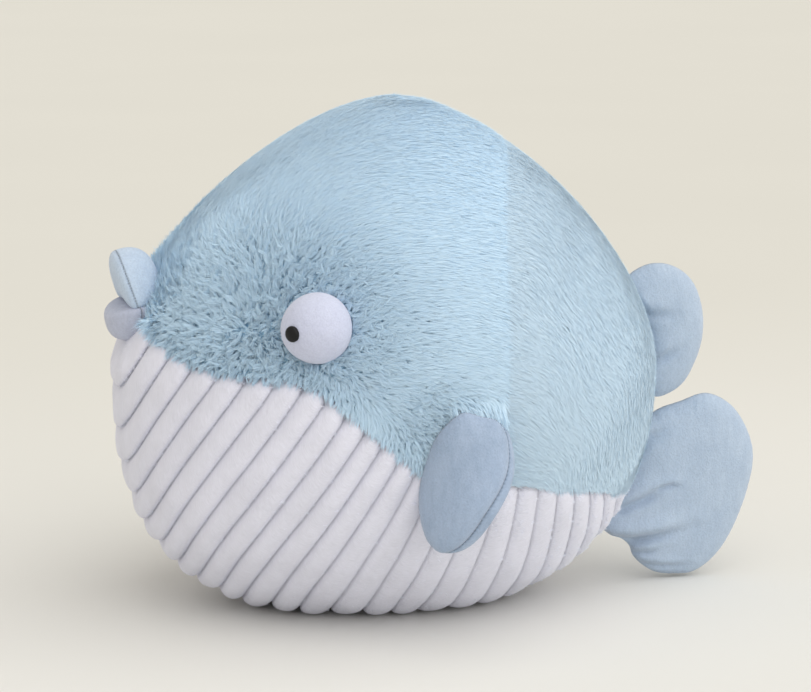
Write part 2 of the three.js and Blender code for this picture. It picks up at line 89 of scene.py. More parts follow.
# Seams, as seen from the side: places along the body as shares of its reach, and levels as
# shares of its height. The belly is sewn to the fur along the one, and the head fur is sewn
# to the rear fur along the other.
def spline(points):
    """Smooth line through given points."""
    steps = 16
    p = np.array(points, float)
    padded = np.vstack([p[:1], p, p[-1:]])
    line = []
    for k in range(len(p) - 1):
        a, b, c, d = padded[k:k + 4]
        for t in np.arange(steps) / steps:
            line.append(0.5 * ((2 * b) + (c - a) * t + (2 * a - 5 * b + 4 * c - d) * t * t
                               + (3 * b - a - 3 * c + d) * t ** 3))
    return np.array([*line, p[-1]])


def seam_line(shares):
    line = spline(shares)
    reach = np.where(line[:, 0] < 0, FRONT_REACH, REAR_REACH)
    return np.stack([line[:, 0] * reach, line[:, 1] * BODY_HEIGHT], 1)


belly_seam = seam_line([
    (-1.18, 0.622), (-0.985, 0.617), (-0.913, 0.565), (-0.803, 0.524), (-0.63, 0.513),
    (-0.488, 0.511), (-0.37, 0.47), (-0.236, 0.409), (-0.118, 0.35), (0, 0.324), (0.19, 0.313),
    (0.355, 0.298), (0.529, 0.278), (0.777, 0.239), (1.157, 0.187)])
side_seam = seam_line([
    (0.124, 0), (0.14, 0.313), (0.157, 0.478), (0.182, 0.665), (0.215, 0.783),
    (0.273, 0.861), (0.355, 0.917), (0.62, 1.087)])


def belly_seam_level(y):
    return np.interp(y, belly_seam[:, 0], belly_seam[:, 1])


def belly_seam_place(z):
    return np.interp(-z, -belly_seam[:, 1], belly_seam[:, 0])


def side_seam_place(z):
    return np.interp(z, side_seam[:, 1], side_seam[:, 0])


# Belly: one panel of wide ribbed plush, off-white with a lilac cast, from the chin under the
# body and up to the tail. Each rib is a soft round channel between two stitched-down furrows,
# and hangs round the body like a hoop that leans forward at the front.
RIB_PITCH = 0.0115
RIB_DEPTH = 0.0024
FRONT_RIB_DEPTH = 0.0043
RIB_ROUNDNESS = 2.1  # 2 is a half circle, more is flatter on top
FURROW_PLACE = -0.086  # one furrow lies here, and the rest follow from it
RIB_LEVEL = 0.060  # level at which the ribs' places along the body are set out
FIRST_RIB = -0.197
LAST_RIB = 0.115
# Along the body: how far each rib leans forward for each metre of height
LEANS = np.array([(-0.150, 0.69), (-0.060, 0.58), (-0.034, 0.46), (-0.010, 0.27), (0.012, 0.16),
                  (0.032, 0.0), (0.088, -0.3)])
# Along the body: the level inside each rib's hoop from which it is drawn
HOOP_LEVELS = np.array([(-0.195, 0.150), (-0.150, 0.128), (-0.110, 0.095), (-0.060, 0.065),
                        (0, 0.060)])
BOW = 0.024  # how far back the front ribs sag at the middle of the belly
BOW_WIDTH = 0.090
BOW_ASIDE = 0.014  # the panel isn't sewn on quite even: the sag is lowest this far to the right
BELLY_TOP = 0.200
REST_CUT = 0.0005
FLOOR_BEND = 0.0035  # over which the flat underside bends up into the round of the belly
OFF_FLOOR = 0.0003
STEPS_PER_RIB = 16
AROUND_RIB = 220
SEAM_TUCK = 0.0055  # how far the cloth dips where it is sewn in under the fur
SEAM_TUCK_WIDTH = 0.013
UNDER_FUR = 0.007  # of the belly, sewn in above the seam
UNEVEN = 0.00035  # swelling along the ribs
FEWER_LOCKS = 1.0
WIDER_LOCKS = 1.0
NAP_DENSITY = 3.6e6 * FEWER_LOCKS  # locks to the square metre
NAP_LENGTH = 0.0027
NAP_WIDTH = 0.00030
NAP_LEAN = 1.12  # radians from standing up
NAP_CLUMPS = 0.11  # share of the locks that others gather to
NAP_GATHER = 0.55
LOCK_BEND = 0.45  # where a lock of pile is widest and bends
MOST_FACES = 190000  # in one piece
BELLY_COLOUR = (0.770, 0.780, 0.890)
# Colour the cloth takes towards the furrows: painted shade in the creases between the ribs
FURROW_SHADE_COLOUR = (0.750, 0.752, 0.865)
# The nap's roots are darker than its tips: painted shade, as dark lines in the gaps between the
# hairs
NAP_SHADED_ROOT = (0.630, 0.637, 0.750)
NAP_TIP = (0.825, 0.837, 0.945)


def smooth_step(low, high, value):
    t = np.clip((value - low) / (high - low), 0, 1)
    return t * t * (3 - 2 * t)


def lean_of_rib(place):
    return np.interp(place, LEANS[:, 0], LEANS[:, 1])


def bow_of_rib(place, x):
    return BOW * smooth_step(0.055, -0.06, place) * np.exp(-((x + BOW_ASIDE) / BOW_WIDTH) ** 2 * 2)


def rib_centres(place):
    level = np.interp(place, HOOP_LEVELS[:, 0], HOOP_LEVELS[:, 1])
    return place + lean_of_rib(place) * (level - RIB_LEVEL), level


def rib_rows():
    """Places of rows of points, some to each rib, and how far along the cloth each lies."""
    step = 0.0005
    place = np.arange(FIRST_RIB, LAST_RIB, step)
    # The cloth bulges, so it is longer than its line, and more so where it climbs to the tail
    cloth = 1.067 + 0.25 * smooth_step(0.03, 0.08, place)
    walked = np.cumsum(step * cloth / np.sqrt(1 + lean_of_rib(place) ** 2))
    marks = np.arange(walked[0], walked[-1], RIB_PITCH / STEPS_PER_RIB)
    return np.interp(marks, walked, place), marks - np.interp(FURROW_PLACE, place, walked)


def between(a, b, share):
    return np.asarray(a) * (1 - share) + np.asarray(b) * share


def rib_points(place, inset, angles):
    """Where rays in each rib's own plane meet the belly's outside, drawn in by inset."""
    centre_y, centre_z = (v[:, None] for v in rib_centres(place))
    lean = lean_of_rib(place)[:, None]
    size = np.sqrt(1 + lean ** 2)
    way = np.stack([np.sin(angles), -np.cos(angles) * lean / size, -np.cos(angles) / size], -1)
    low = np.zeros(angles.shape)
    high = np.full(angles.shape, 2 * BODY_HEIGHT)
    halvings, least_fall, out_of_reach = 30, 0.02, 10.0
    for _ in range(halvings):
        middle = (low + high) / 2
        x = way[..., 0] * middle
        y = centre_y + way[..., 1] * middle + bow_of_rib(place[:, None], x)
        z = centre_z + way[..., 2] * middle
        within = outline_share(x, y, z, inset) < 1
        within &= (z > -SINK + inset) & (z < BELLY_TOP)
        low = np.where(within, middle, low)
        high = np.where(within, high, middle)
    # The flat underside meets the round of the belly in a soft bend
    drop = centre_z - (inset - REST_CUT)
    fall = -way[..., 2]
    to_floor = np.where(fall > least_fall, drop / np.maximum(fall, least_fall), out_of_reach)
    mix = np.clip(0.5 + 0.5 * (to_floor - low) / FLOOR_BEND, 0, 1)
    reach = between(to_floor, low, mix) - FLOOR_BEND * mix * (1 - mix)
    x = way[..., 0] * reach
    return np.stack([x, centre_y + way[..., 1] * reach + bow_of_rib(place[:, None], x),
                     centre_z + way[..., 2] * reach], -1)


def seam_turns(place):
    """How far round each rib its end lies, sewn in above the seam, and the seam's distance
    from the rib's centre."""
    search = np.tile(np.linspace(0, math.pi * 0.97, 240), (len(place), 1))
    trial = rib_points(place, np.zeros((len(place), 1)), search)
    above = trial[..., 2] > belly_seam_level(trial[..., 1])
    above[:, -1] = True
    at_seam = above.argmax(1)
    centres = np.stack([np.zeros(len(place)), *rib_centres(place)], 1)
    radius = np.linalg.norm(trial[np.arange(len(place)), at_seam] - centres, axis=1)
    return search[0][at_seam] + UNDER_FUR / np.maximum(radius, 0.01), radius


def make_mesh(name, points, groups):
    """A mesh from points drawn round the body's middle, and arrays of faces of 3 or 4 corners."""
    mesh = bpy.data.meshes.new(name)
    placed = np.asarray(points, float) + np.array([0, MIDDLE_Y, 0])
    corners = np.concatenate([g.ravel() for g in groups]).astype(np.int32)
    sizes = np.concatenate([np.full(len(g), g.shape[1]) for g in groups])
    starts = np.concatenate([[0], np.cumsum(sizes)[:-1]]).astype(np.int32)
    mesh.vertices.add(len(placed))
    mesh.vertices.foreach_set("co", placed.astype(np.float32).ravel())
    mesh.loops.add(len(corners))
    mesh.loops.foreach_set("vertex_index", corners)
    mesh.polygons.add(len(starts))
    mesh.polygons.foreach_set("loop_start", starts)
    mesh.polygons.foreach_set("use_smooth", np.ones(len(starts), bool))
    mesh.update(calc_edges=True)
    piece = bpy.data.objects.new(name, mesh)
    bpy.context.scene.collection.objects.link(piece)
    return piece


def point_values(piece, name, values):
    layer = piece.data.attributes.new(name, "FLOAT", "POINT")
    layer.data.foreach_set("value", np.asarray(values, np.float32))


def grid_faces(rows, columns, closed=False):
    """Quads between rows of equal count, whose points follow each other."""
    spans = columns if closed else columns - 1
    i, j = np.meshgrid(np.arange(rows - 1), np.arange(spans), indexing="ij")
    a = i * columns + j
    b = i * columns + (j + 1) % columns
    return np.stack([a, b, b + columns, a + columns], -1).reshape(-1, 4)


def make_belly():
    """The panel with its values for the cloth, and the grid of its points."""
    place, marks = rib_rows()
    y, z = rib_centres(place)
    inside = length_half(y, z) - np.abs(y + bow_of_rib(place, 0.0))
    sound = inside > 0.0004
    marks, place, inside = marks[sound], place[sound], inside[sound]
    # Furrows and seam tuck are shallower at the two ends, where the body has little depth
    depth = RIB_DEPTH + (FRONT_RIB_DEPTH - RIB_DEPTH) * smooth_step(0.03, -0.06, place)
    relief = np.minimum(depth, 0.6 * inside)
    across = (marks / RIB_PITCH) % 1
    furrow = 1 - np.sqrt(1 - np.abs(2 * across - 1) ** RIB_ROUNDNESS)
    # Rows of angles from the middle of the underside up to the seam on either side
    end, radius = seam_turns(place)
    turn = np.linspace(-1, 1, AROUND_RIB)
    angles = end[:, None] * (0.86 * turn + 0.14 * turn ** 3)
    from_seam = (end[:, None] - np.abs(angles)) * radius[:, None]
    by_seam = (1 - smooth_step(0, SEAM_TUCK_WIDTH, from_seam)) ** 1.3
    tuck = np.minimum(SEAM_TUCK, 0.5 * inside)[:, None] * by_seam
    swelling = UNEVEN * np.sin(angles * 9 + place[:, None] * 160)
    inset = relief[:, None] * furrow[:, None] + tuck + np.maximum(swelling, -0.0002)
    points = rib_points(place, inset, angles)
    points[..., 2] = np.maximum(points[..., 2], OFF_FLOOR)
    # A point closes the cloth at the chin, and another at the tail
    rows, columns = angles.shape
    ends = np.array([place[0], place[-1] + 0.002])
    end_y, end_z = rib_centres(ends)
    closing = np.stack([np.zeros(2), end_y + bow_of_rib(ends, 0.0), end_z], 1)
    j = np.arange(columns - 1)
    last_row = (rows - 1) * columns + j
    chin = np.stack([j + 1, j, np.full_like(j, rows * columns)], 1)
    tail = np.stack([last_row, last_row + 1, np.full_like(j, rows * columns + 1)], 1)
    piece = make_mesh("belly", np.vstack([points.reshape(-1, 3), closing]),
                      [grid_faces(rows, columns), chin, tail])
    steps = np.linalg.norm(np.diff(points, axis=1), axis=2)
    arc = np.concatenate([np.zeros((rows, 1)), np.cumsum(steps, axis=1)], 1)
    middle = columns // 2
    for name, value in (("furrow", furrow[:, None]), ("across", across[:, None] * RIB_PITCH),
                        ("along", arc - arc[:, middle:middle + 1]),
                        ("rib", np.floor(marks / RIB_PITCH)[:, None])):
        point_values(piece, name, [*np.broadcast_to(value, (rows, columns)).ravel(), 0, 0])
    return piece, points


class Shading:
    """Nodes of one material, added by short calls."""

    def __init__(self, name, roughness, sheen=0.0):
        self.material = bpy.data.materials.new(name)
        self.material.use_nodes = True
        self.tree = self.material.node_tree
        self.shader = self.tree.nodes["Principled BSDF"]
        self.shader.inputs["Roughness"].default_value = roughness
        self.shader.inputs["Sheen Weight"].default_value = sheen
        self.shader.inputs["Sheen Roughness"].default_value = 0.5
        self.shader.inputs["Specular IOR Level"].default_value = 0.15

    def add(self, kind, values=None, **settings):
        node = self.tree.nodes.new(kind)
        for key, value in settings.items():
            setattr(node, key, value)
        for key, value in (values or {}).items():
            if isinstance(value, bpy.types.NodeSocket):
                self.tree.links.new(value, node.inputs[key])
            else:
                node.inputs[key].default_value = value
        return node

    def value(self, name):
        return self.add("ShaderNodeAttribute", attribute_name=name).outputs["Fac"]

    def math(self, operation, a, b=0.0):
        return self.add("ShaderNodeMath", {0: a, 1: b}, operation=operation).outputs[0]

    def times(self, a, b):
        return self.math("MULTIPLY", a, b)

    def ramp(self, factor, low, high, to_low=0.0, to_high=1.0):
        values = {"Value": factor, "From Min": low, "From Max": high,
                  "To Min": to_low, "To Max": to_high}
        return self.add("ShaderNodeMapRange", values, interpolation_type="SMOOTHSTEP").outputs[0]

    def place(self):
        return self.add("ShaderNodeTexCoord").outputs["Object"]

    def noise(self, where, scale, detail=2.0, rough=0.5):
        values = {"Vector": where, "Scale": scale, "Detail": detail, "Roughness": rough}
        return self.add("ShaderNodeTexNoise", values).outputs["Fac"]

    def stretched(self, where, scale):
        return self.add("ShaderNodeMapping", {"Vector": where, "Scale": scale}).outputs[0]

    def joined(self, x, y, z=0.0):
        return self.add("ShaderNodeCombineXYZ", {0: x, 1: y, 2: z}).outputs[0]

    def mix(self, factor, a, b):
        node = self.add("ShaderNodeMix", data_type="RGBA")
        for socket, value in zip((node.inputs[0], node.inputs[6], node.inputs[7]), (factor, a, b)):
            if isinstance(value, bpy.types.NodeSocket):
                self.tree.links.new(value, socket)
            else:
                socket.default_value = (*value, 1) if isinstance(value, tuple) else value
        return node.outputs[2]

    def scaled(self, colour, factor):
        node = self.add("ShaderNodeVectorMath", {0: colour}, operation="SCALE")
        self.tree.links.new(factor, node.inputs["Scale"])
        return node.outputs[0]

    def paint(self, colour):
        self.tree.links.new(colour, self.shader.inputs["Base Color"])

    def bump(self, height, depth, strength, under=None):
        values = {"Height": height, "Distance": depth, "Strength": strength}
        node = self.add("ShaderNodeBump", values)
        if under is not None:
            self.tree.links.new(under, node.inputs["Normal"])
        self.tree.links.new(node.outputs[0], self.shader.inputs["Normal"])
        return node.outputs[0]


def ribbed_plush():
    cloth = Shading("ribbed_plush", 0.9, 0.25)
    furrow = cloth.value("furrow")
    along = cloth.value("along")
    across = cloth.value("across")
    rib = cloth.value("rib")
    # Pile combed square to the ribs: fine hairs short along the rib and long across it
    hairs = cloth.noise(cloth.joined(cloth.times(along, 1900.0), cloth.times(across, 260.0),
                                     cloth.times(rib, 7.0)), 1.0, 2.0, 0.6)
    stitches = cloth.noise(cloth.joined(cloth.times(along, 900.0), rib), 1.0, 0.0)
    patches = cloth.noise(cloth.place(), 55.0, 3.0)
    # Darker towards the furrows, broken up along them by the stitch noise: painted shade in the
    # creases
    shade = cloth.ramp(furrow, 0.45, 1.0)
    edge = cloth.times(shade, cloth.ramp(stitches, 0.25, 0.75, 0.65, 1.0))
    colour = cloth.mix(edge, BELLY_COLOUR, FURROW_SHADE_COLOUR)
    fine = cloth.math("ADD", cloth.ramp(hairs, 0.25, 0.75, 0.955, 1.03),
                      cloth.ramp(patches, 0.3, 0.7, -0.03, 0.03))
    cloth.paint(cloth.scaled(colour, fine))
    nap = cloth.bump(hairs, 0.0009, 0.55)
    cloth.bump(cloth.noise(cloth.place(), 700.0, 2.0), 0.0006, 0.35, nap)
    return cloth.material


def unit(vectors):
    return vectors / np.maximum(np.linalg.norm(vectors, axis=-1, keepdims=True), 1e-12)


def sampled(grid, density, rng):
    """Random points on a grid's surface, so many to the square metre, with the ways outwards
    and across its rows."""
    a, b, c, d = grid[:-1, :-1], grid[:-1, 1:], grid[1:, 1:], grid[1:, :-1]
    corners = np.concatenate([np.stack([a, b, c], -2).reshape(-1, 3, 3),
                              np.stack([a, c, d], -2).reshape(-1, 3, 3)])
    across = np.concatenate([(c - b).reshape(-1, 3), (d - a).reshape(-1, 3)])
    ways = np.cross(corners[:, 1] - corners[:, 0], corners[:, 2] - corners[:, 0])
    area = np.linalg.norm(ways, axis=1) / 2
    count = int(area.sum() * density)
    chosen = rng.choice(len(area), count, p=area / area.sum())
    u, v = rng.random(count), rng.random(count)
    fold = u + v > 1
    u, v = np.where(fold, 1 - u, u), np.where(fold, 1 - v, v)
    t = corners[chosen]
    points = t[:, 0] + u[:, None] * (t[:, 1] - t[:, 0]) + v[:, None] * (t[:, 2] - t[:, 0])
    return points, unit(ways[chosen]), unit(across[chosen])


def kite_locks(path, out, width, roll, rng):
    """Tapered locks along paths of three points: a root, a bend where they are widest, a tip."""
    count = len(path)
    tangent = unit(path[:, 2] - path[:, 0])
    broad = unit(np.cross(tangent, out))
    broad = unit(broad + (roll * rng.normal(size=count))[:, None] * np.cross(tangent, broad))
    half = broad * (width / 2 * (0.7 + 0.6 * rng.random(count)))[:, None]
    return np.stack([path[:, 0], path[:, 1] - half, path[:, 1] + half, path[:, 2]], 1)


def clumps(roots, share, rng):
    """Picks a share of the roots, and the nearest picked one to each root."""
    picked = np.flatnonzero(rng.random(len(roots)) < share)
    tree = KDTree(len(picked))
    for k, centre in enumerate(roots[picked]):
        tree.insert(centre, k)
    tree.balance()
    return picked, np.fromiter((tree.find(p)[1] for p in roots), int, len(roots))


def combed_nap(surface, rng):
    """Short pile lying across the ribs, from each over the furrow behind it."""
    """Short pile lying across the ribs, from each over the furrow behind it."""
    roots, out, across = sampled(surface, NAP_DENSITY, rng)
    clear_of_floor = roots[:, 2] > 0.0015
    below_fur = roots[:, 2] < belly_seam_level(roots[:, 1]) + 0.002
    free = clear_of_floor & below_fur
    roots, out, across = roots[free], out[free], across[free]
    count = len(roots)
    picked, clump = clumps(roots, NAP_CLUMPS, rng)
    of_clump = rng.normal(size=(len(picked), 3))[clump]
    lie = unit(across + 0.20 * of_clump + 0.08 * rng.normal(size=(count, 3)))
    lean = NAP_LEAN + 0.24 * of_clump[:, 1] + 0.06 * rng.normal(size=count)
    lean = np.clip(lean, 0.3, 1.45)
    length = NAP_LENGTH * (1 + 0.15 * rng.normal(size=count))
    way = out * np.cos(lean)[:, None] + lie * np.sin(lean)[:, None]
    start = between(roots, roots[picked][clump], NAP_GATHER)
    middle = roots + (out * 0.30 + lie * 0.33) * length[:, None]
    path = np.stack([roots, middle, start + way * length[:, None]], 1)
    path[..., 2] = np.maximum(path[..., 2], OFF_FLOOR)
    tone = np.clip(0.5 + 0.30 * of_clump[:, 0] + 0.12 * rng.normal(size=count), 0, 1)
    return kite_locks(path, out, NAP_WIDTH * WIDER_LOCKS, 0.35, rng), tone


def add_pile(name, locks, tone, body, material):
    """Mesh pieces of locks of pile, few enough faces in each."""
    parts = math.ceil(2 * len(locks) / MOST_FACES)
    for k in range(parts):
        chosen = slice(k * len(locks) // parts, (k + 1) * len(locks) // parts)
        points = locks[chosen].reshape(-1, 3)
        first = np.arange(len(locks[chosen]))[:, None] * 4
        piece = make_mesh(f"{name}_{k + 1}", points, [first + [0, 2, 1], first + [1, 2, 3]])
        along = np.tile([0, LOCK_BEND, LOCK_BEND, 1.0], len(first))
        tones = np.repeat(tone[chosen], 4)
        point_values(piece, "along", along)
        point_values(piece, "tone", tones)
        mesh = piece.data
        corners = np.empty(len(mesh.loops), np.int32)
        mesh.loops.foreach_get("vertex_index", corners)
        layer = mesh.uv_layers.new(name="OFBake")
        places = np.stack([tones[corners], along[corners]], 1)
        layer.data.foreach_set("uv", places.astype(np.float32).ravel())
        mesh.materials.append(material)
        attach(piece, body)


def pile_fibre(name, tufted_root, smooth_root, tip, tones=(0.93, 1.05)):
    """Fibres paler at their tips; where the tone is low, in tufted places and where shade is
    painted, the roots are darker.
    """
    fibre = Shading(name, 0.75, 0.75)
    fibre.shader.inputs["Sheen Tint"].default_value = (0.74, 0.89, 1.0, 1)
    tone = fibre.value("tone")
    root = fibre.mix(fibre.ramp(tone, 0.25, 0.7), tufted_root, smooth_root)
    colour = fibre.mix(fibre.ramp(fibre.value("along"), 0.0, 0.7), root, tip)
    fibre.paint(fibre.scaled(colour, fibre.ramp(tone, 0.0, 1.0, *tones)))
    return fibre.material


belly, belly_surface = make_belly()
belly.data.materials.append(ribbed_plush())
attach(belly, "plush_body")
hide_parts("belly_panel", "body_stuffing")
nap, nap_tone = combed_nap(belly_surface, np.random.default_rng(17))
nap_fibre = pile_fibre("belly_nap", NAP_SHADED_ROOT, NAP_SHADED_ROOT, NAP_TIP, (0.74, 1.10))
add_pile("belly_nap", nap, nap_tone, "plush_body", nap_fibre)

# Eyes: a ball of short white plush on each side, filled hard and gathered shut at its back,
# where it is sewn down into the fur. A small domed black bead is glued on its front.
EYE_RADIUS = 0.0152
PUPIL_RADIUS = 0.0035
PUPIL_RISE = 0.0019
PUPIL_WAY = unit(np.array([0.585, -0.811, -0.03]))
SIDES = ((1, "left"), (-1, "right"))
GATHER_FOLDS = 14
GATHER_DEPTH = 0.00045
GATHER_DENT = 0.0009  # at the middle of the gathers
EYE_COLOUR = (0.590, 0.625, 0.775)
EYE_DEEP = (0.550, 0.580, 0.735)
# Marks in a metre of the brushing, nap and patches, shares of the deep colour that these
# bring, and depth and strength of the bumps
EYE_PILE = {"brushing": (420.0, 420.0, 420.0), "uneven": 0.55, "nap": 1300.0, "patches": 60.0,
            "brushed": 0.55, "patchy": 0.35, "speckle": 0.04,
            "nap_bump": (0.0005, 0.5), "lay_bump": (0.0007, 0.35)}


def eye_centre(side):
    low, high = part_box("left_eye_stuffing" if side > 0 else "right_eye_stuffing")
    middle = (low + high) / 2
    return np.array([middle.x, middle.y - MIDDLE_Y, middle.z])


def turns(around):
    return np.arange(around) / around * 2 * math.pi


def ring_faces(rings, around):
    """Faces of a closed form: rings of points, and then a point at its first and last end."""
    j = np.arange(around)
    last = (rings - 1) * around
    first_cap = np.stack([(j + 1) % around, j, np.full_like(j, rings * around)], 1)
    last_cap = np.stack([last + j, last + (j + 1) % around,
                         np.full_like(j, rings * around + 1)], 1)
    return [grid_faces(rings, around, closed=True), first_cap, last_cap]


def make_eye(name, side):
    """A ball that is a little uneven, with gathers round a dent at its back."""
    rings, around = 64, 128
    pole = unit(np.array([side * 1.0, -0.4, 0.15]))
    first = unit(np.cross(pole, [0, 0, 1]))
    second = np.cross(pole, first)
    tilt = np.linspace(0, math.pi, rings)[:, None]
    turn = turns(around)[None, :]
    from_back = math.pi - tilt
    folds = GATHER_DEPTH * np.exp(-(from_back / 0.75) ** 2) * np.cos(GATHER_FOLDS * turn)
    dent = GATHER_DENT * np.exp(-(from_back / 0.16) ** 2)
    uneven = 0.00016 * np.sin(3 * turn + 1) * np.sin(tilt)
    uneven = uneven + 0.00012 * np.sin(5 * turn) * np.sin(2 * tilt)
    radius = EYE_RADIUS - 0.0001 + folds * (np.sin(tilt) > 0.02) - dent + uneven
    ball = (np.cos(tilt) * radius)[..., None] * pole \
        + (np.sin(tilt) * np.cos(turn) * radius)[..., None] * first \
        + (np.sin(tilt) * np.sin(turn) * radius)[..., None] * second
    points = np.vstack([ball[1:-1].reshape(-1, 3), ball[0, 0], ball[-1, 0]])
    return make_mesh(name, points + eye_centre(side), ring_faces(rings - 2, around))


def plush(name, colour, deep, pile, rim_seam=False):
    """Smooth short pile, brushed lighter and darker in soft patches, with the stitches of a
    rim seam or without."""
    cloth = Shading(name, 0.88, 0.3)
    where = cloth.place()
    brushed = cloth.noise(cloth.stretched(where, pile["brushing"]), 1.0, 3.0, pile["uneven"])
    nap = cloth.noise(where, pile["nap"], 2.0, 0.6)
    patches = cloth.noise(where, pile["patches"], 2.0)
    share = cloth.math("ADD", cloth.ramp(brushed, 0.3, 0.7, 0.0, pile["brushed"]),
                       cloth.ramp(patches, 0.35, 0.7, 0.0, pile["patchy"]))
    base = cloth.mix(share, colour, deep)
    lay = cloth.bump(brushed, *pile["lay_bump"], cloth.bump(nap, *pile["nap_bump"]))
    if rim_seam:
        stitch = cloth.math("SINE", cloth.times(cloth.value("round"), 90.0))
        sewn = cloth.times(cloth.value("seam"), cloth.ramp(stitch, -0.6, 0.6, 0.55, 1.0))
        base = cloth.mix(cloth.times(sewn, 0.75), base, tuple(0.55 * c for c in deep))
        cloth.bump(sewn, -0.0006, 0.6, lay)
    speckle = cloth.ramp(nap, 0.3, 0.7, 1 - pile["speckle"], 1 + pile["speckle"])
    cloth.paint(cloth.scaled(base, speckle))
    return cloth.material


eye_cloth = plush("eye_plush", EYE_COLOUR, EYE_DEEP, EYE_PILE)
for side, hand in SIDES:
    eye = make_eye(f"{hand}_eye", side)
    eye.data.materials.append(eye_cloth)
    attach(eye, "plush_body")
    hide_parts(f"{hand}_eye_ball", f"{hand}_eye_stuffing")


def bead_plastic():
    bead = Shading("black_bead", 0.32)
    bead.shader.inputs["Specular IOR Level"].default_value = 0.2
    marks = bead.noise(bead.place(), 900.0, 2.0)
    bead.paint(bead.mix(marks, (0.006, 0.006, 0.007), (0.012, 0.012, 0.013)))
    bead.bump(marks, 0.00002, 0.3)
    return bead.material


def make_pupil(name, side):
    """Low dome with a rolled edge, hollowed behind so that it sits on the ball."""
    around, rings = 48, 16
    way = PUPIL_WAY * [side, 1, 1]
    first = unit(np.cross(way, [0, 0, 1]))
    second = np.cross(way, first)
    share = np.linspace(0, 1, rings)[1:]
    dome = PUPIL_RISE * (1 - share ** 2.2) ** 0.5
    sag = EYE_RADIUS - np.sqrt(EYE_RADIUS ** 2 - (share * PUPIL_RADIUS) ** 2)
    rim, glue = 0.0003, 0.00005
    front = [(s * PUPIL_RADIUS, h + rim) for s, h in zip(share, dome)]
    edge = [(PUPIL_RADIUS - 0.000105, -rim)]
    behind = [(s * PUPIL_RADIUS * 0.97, -d + glue) for s, d in zip(share[::-1], sag[::-1])]
    profile = np.array(front + edge + behind)
    turn = turns(around)
    seat = eye_centre(side) + way * EYE_RADIUS
    ring = np.cos(turn)[:, None] * first + np.sin(turn)[:, None] * second
    points = seat + profile[:, 0, None, None] * ring + profile[:, 1, None, None] * way
    flat = np.vstack([points.reshape(-1, 3), seat + way * (PUPIL_RISE + rim),
                      seat + way * glue])
    return make_mesh(name, flat, ring_faces(len(profile), around))


bead_finish = bead_plastic()
for side, hand in SIDES:
    pupil = make_pupil(f"{hand}_bead", side)
    pupil.data.materials.append(bead_finish)
    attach(pupil, "plush_body")
    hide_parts(f"{hand}_pupil")

# Fur: four panels of long plush on a knitted backing, two for the head and two for the rear,
# sewn to each other and to the belly. The head's pile is tufted on the cheeks and lies smooth
# above them; the rear's is paler and brushed flat. The pile hangs over all seams.
FUR_ROW = 0.0022  # between rows of points on the backing below the widest level
ROWS_ABOVE = 70
FUR_COLUMNS = {"head": 110, "rear": 80}
FUR_DEPTH = {"head": 0.0036, "rear": 0.0022}  # of the backing, under the tips of the pile
LOWEST_FUR = {"head": 0.0722, "rear": 0.0500}
PILE_START = {"head": 0.0024, "rear": 0.0018}  # above the belly seam
PILE_DENSITY = 8.5e6 * FEWER_LOCKS  # locks to the square metre
PILE_LENGTH = 0.0052
PILE_WIDTH = 0.00031
PILE_LEAN = 1.25  # radians from standing up, where it lies smooth
SMOOTH_LIFT = 0.0019  # of the backing where the pile lies flat
SEAM_LAP = -0.0018  # of the backing, past the belly seam: it stops short of it
AT_SIDE_SEAM = (0, 0.8, -0.4)  # way that the pile lies on both sides of the side seam
CHEEK_WHORL = np.array([0.075, -0.084, 0.139])  # on the left; the pile lies outwards from it
MOUTH = np.array([0, -0.122, 0.141])
FIN_ROOT_ALONG = 0.009  # of the side fins, over whose roots longer pile hangs
FIN_ROOT_LEVEL = 0.106
HEAD_TIP = (0.650, 0.835, 0.985)
HEAD_ROOT = (0.400, 0.650, 0.840)
SMOOTH_HEAD_ROOT = (0.600, 0.785, 0.940)
REAR_TIP = (0.614, 0.768, 0.894)
REAR_ROOT = (0.572, 0.731, 0.856)


def body_points(angle, level, inset):
    """Points on the body's left outside at angles from its side, front negative."""
    y = np.sin(angle)
    return np.stack([np.cos(angle) * side_half(level, inset), y * length_half(y, level, inset),
                     level * np.ones_like(angle)], -1)


def body_normals(points, inset):
    """Ways outwards from the body's outside, drawn in by inset, at or near points on it."""
    x, y, z = points[:, 0], points[:, 1], points[:, 2]
    step = 0.0002
    level = np.minimum(z, BODY_HEIGHT - inset - 2 * step)
    above = outline_share(x, y, level + step, inset)
    below = outline_share(x, y, level - step, inset)
    return unit(np.stack([2 * x / side_half(level, inset) ** 2,
                          2 * y / length_half(y, level, inset) ** 2,
                          (above - below) / (2 * step)], -1))


def cheek(points):
    """1 on the cheeks and round the eyes, where the pile is tufted most, falling off above."""
    left = np.abs(points) * [1, 0, 1] + points * [0, 1, 0]
    reach = np.linalg.norm((left - CHEEK_WHORL) * [0.7, 0.8, 1.15], axis=1)
    from_fin = np.hypot(points[:, 1] - FIN_ROOT_ALONG + 0.021,
                        points[:, 2] - FIN_ROOT_LEVEL + 0.006)
    before_fin = 1 - smooth_step(0.008, 0.030, from_fin)
    return np.maximum(1 - smooth_step(0.022, 0.076, reach), 0.7 * before_fin)


def by_mouth(points):
    """1 beside the lips, where the pile stands up round them."""
    away = np.linalg.norm((points - MOUTH) * [1, 0.6, 1], axis=1)
    return 1 - smooth_step(0.022, 0.042, away)


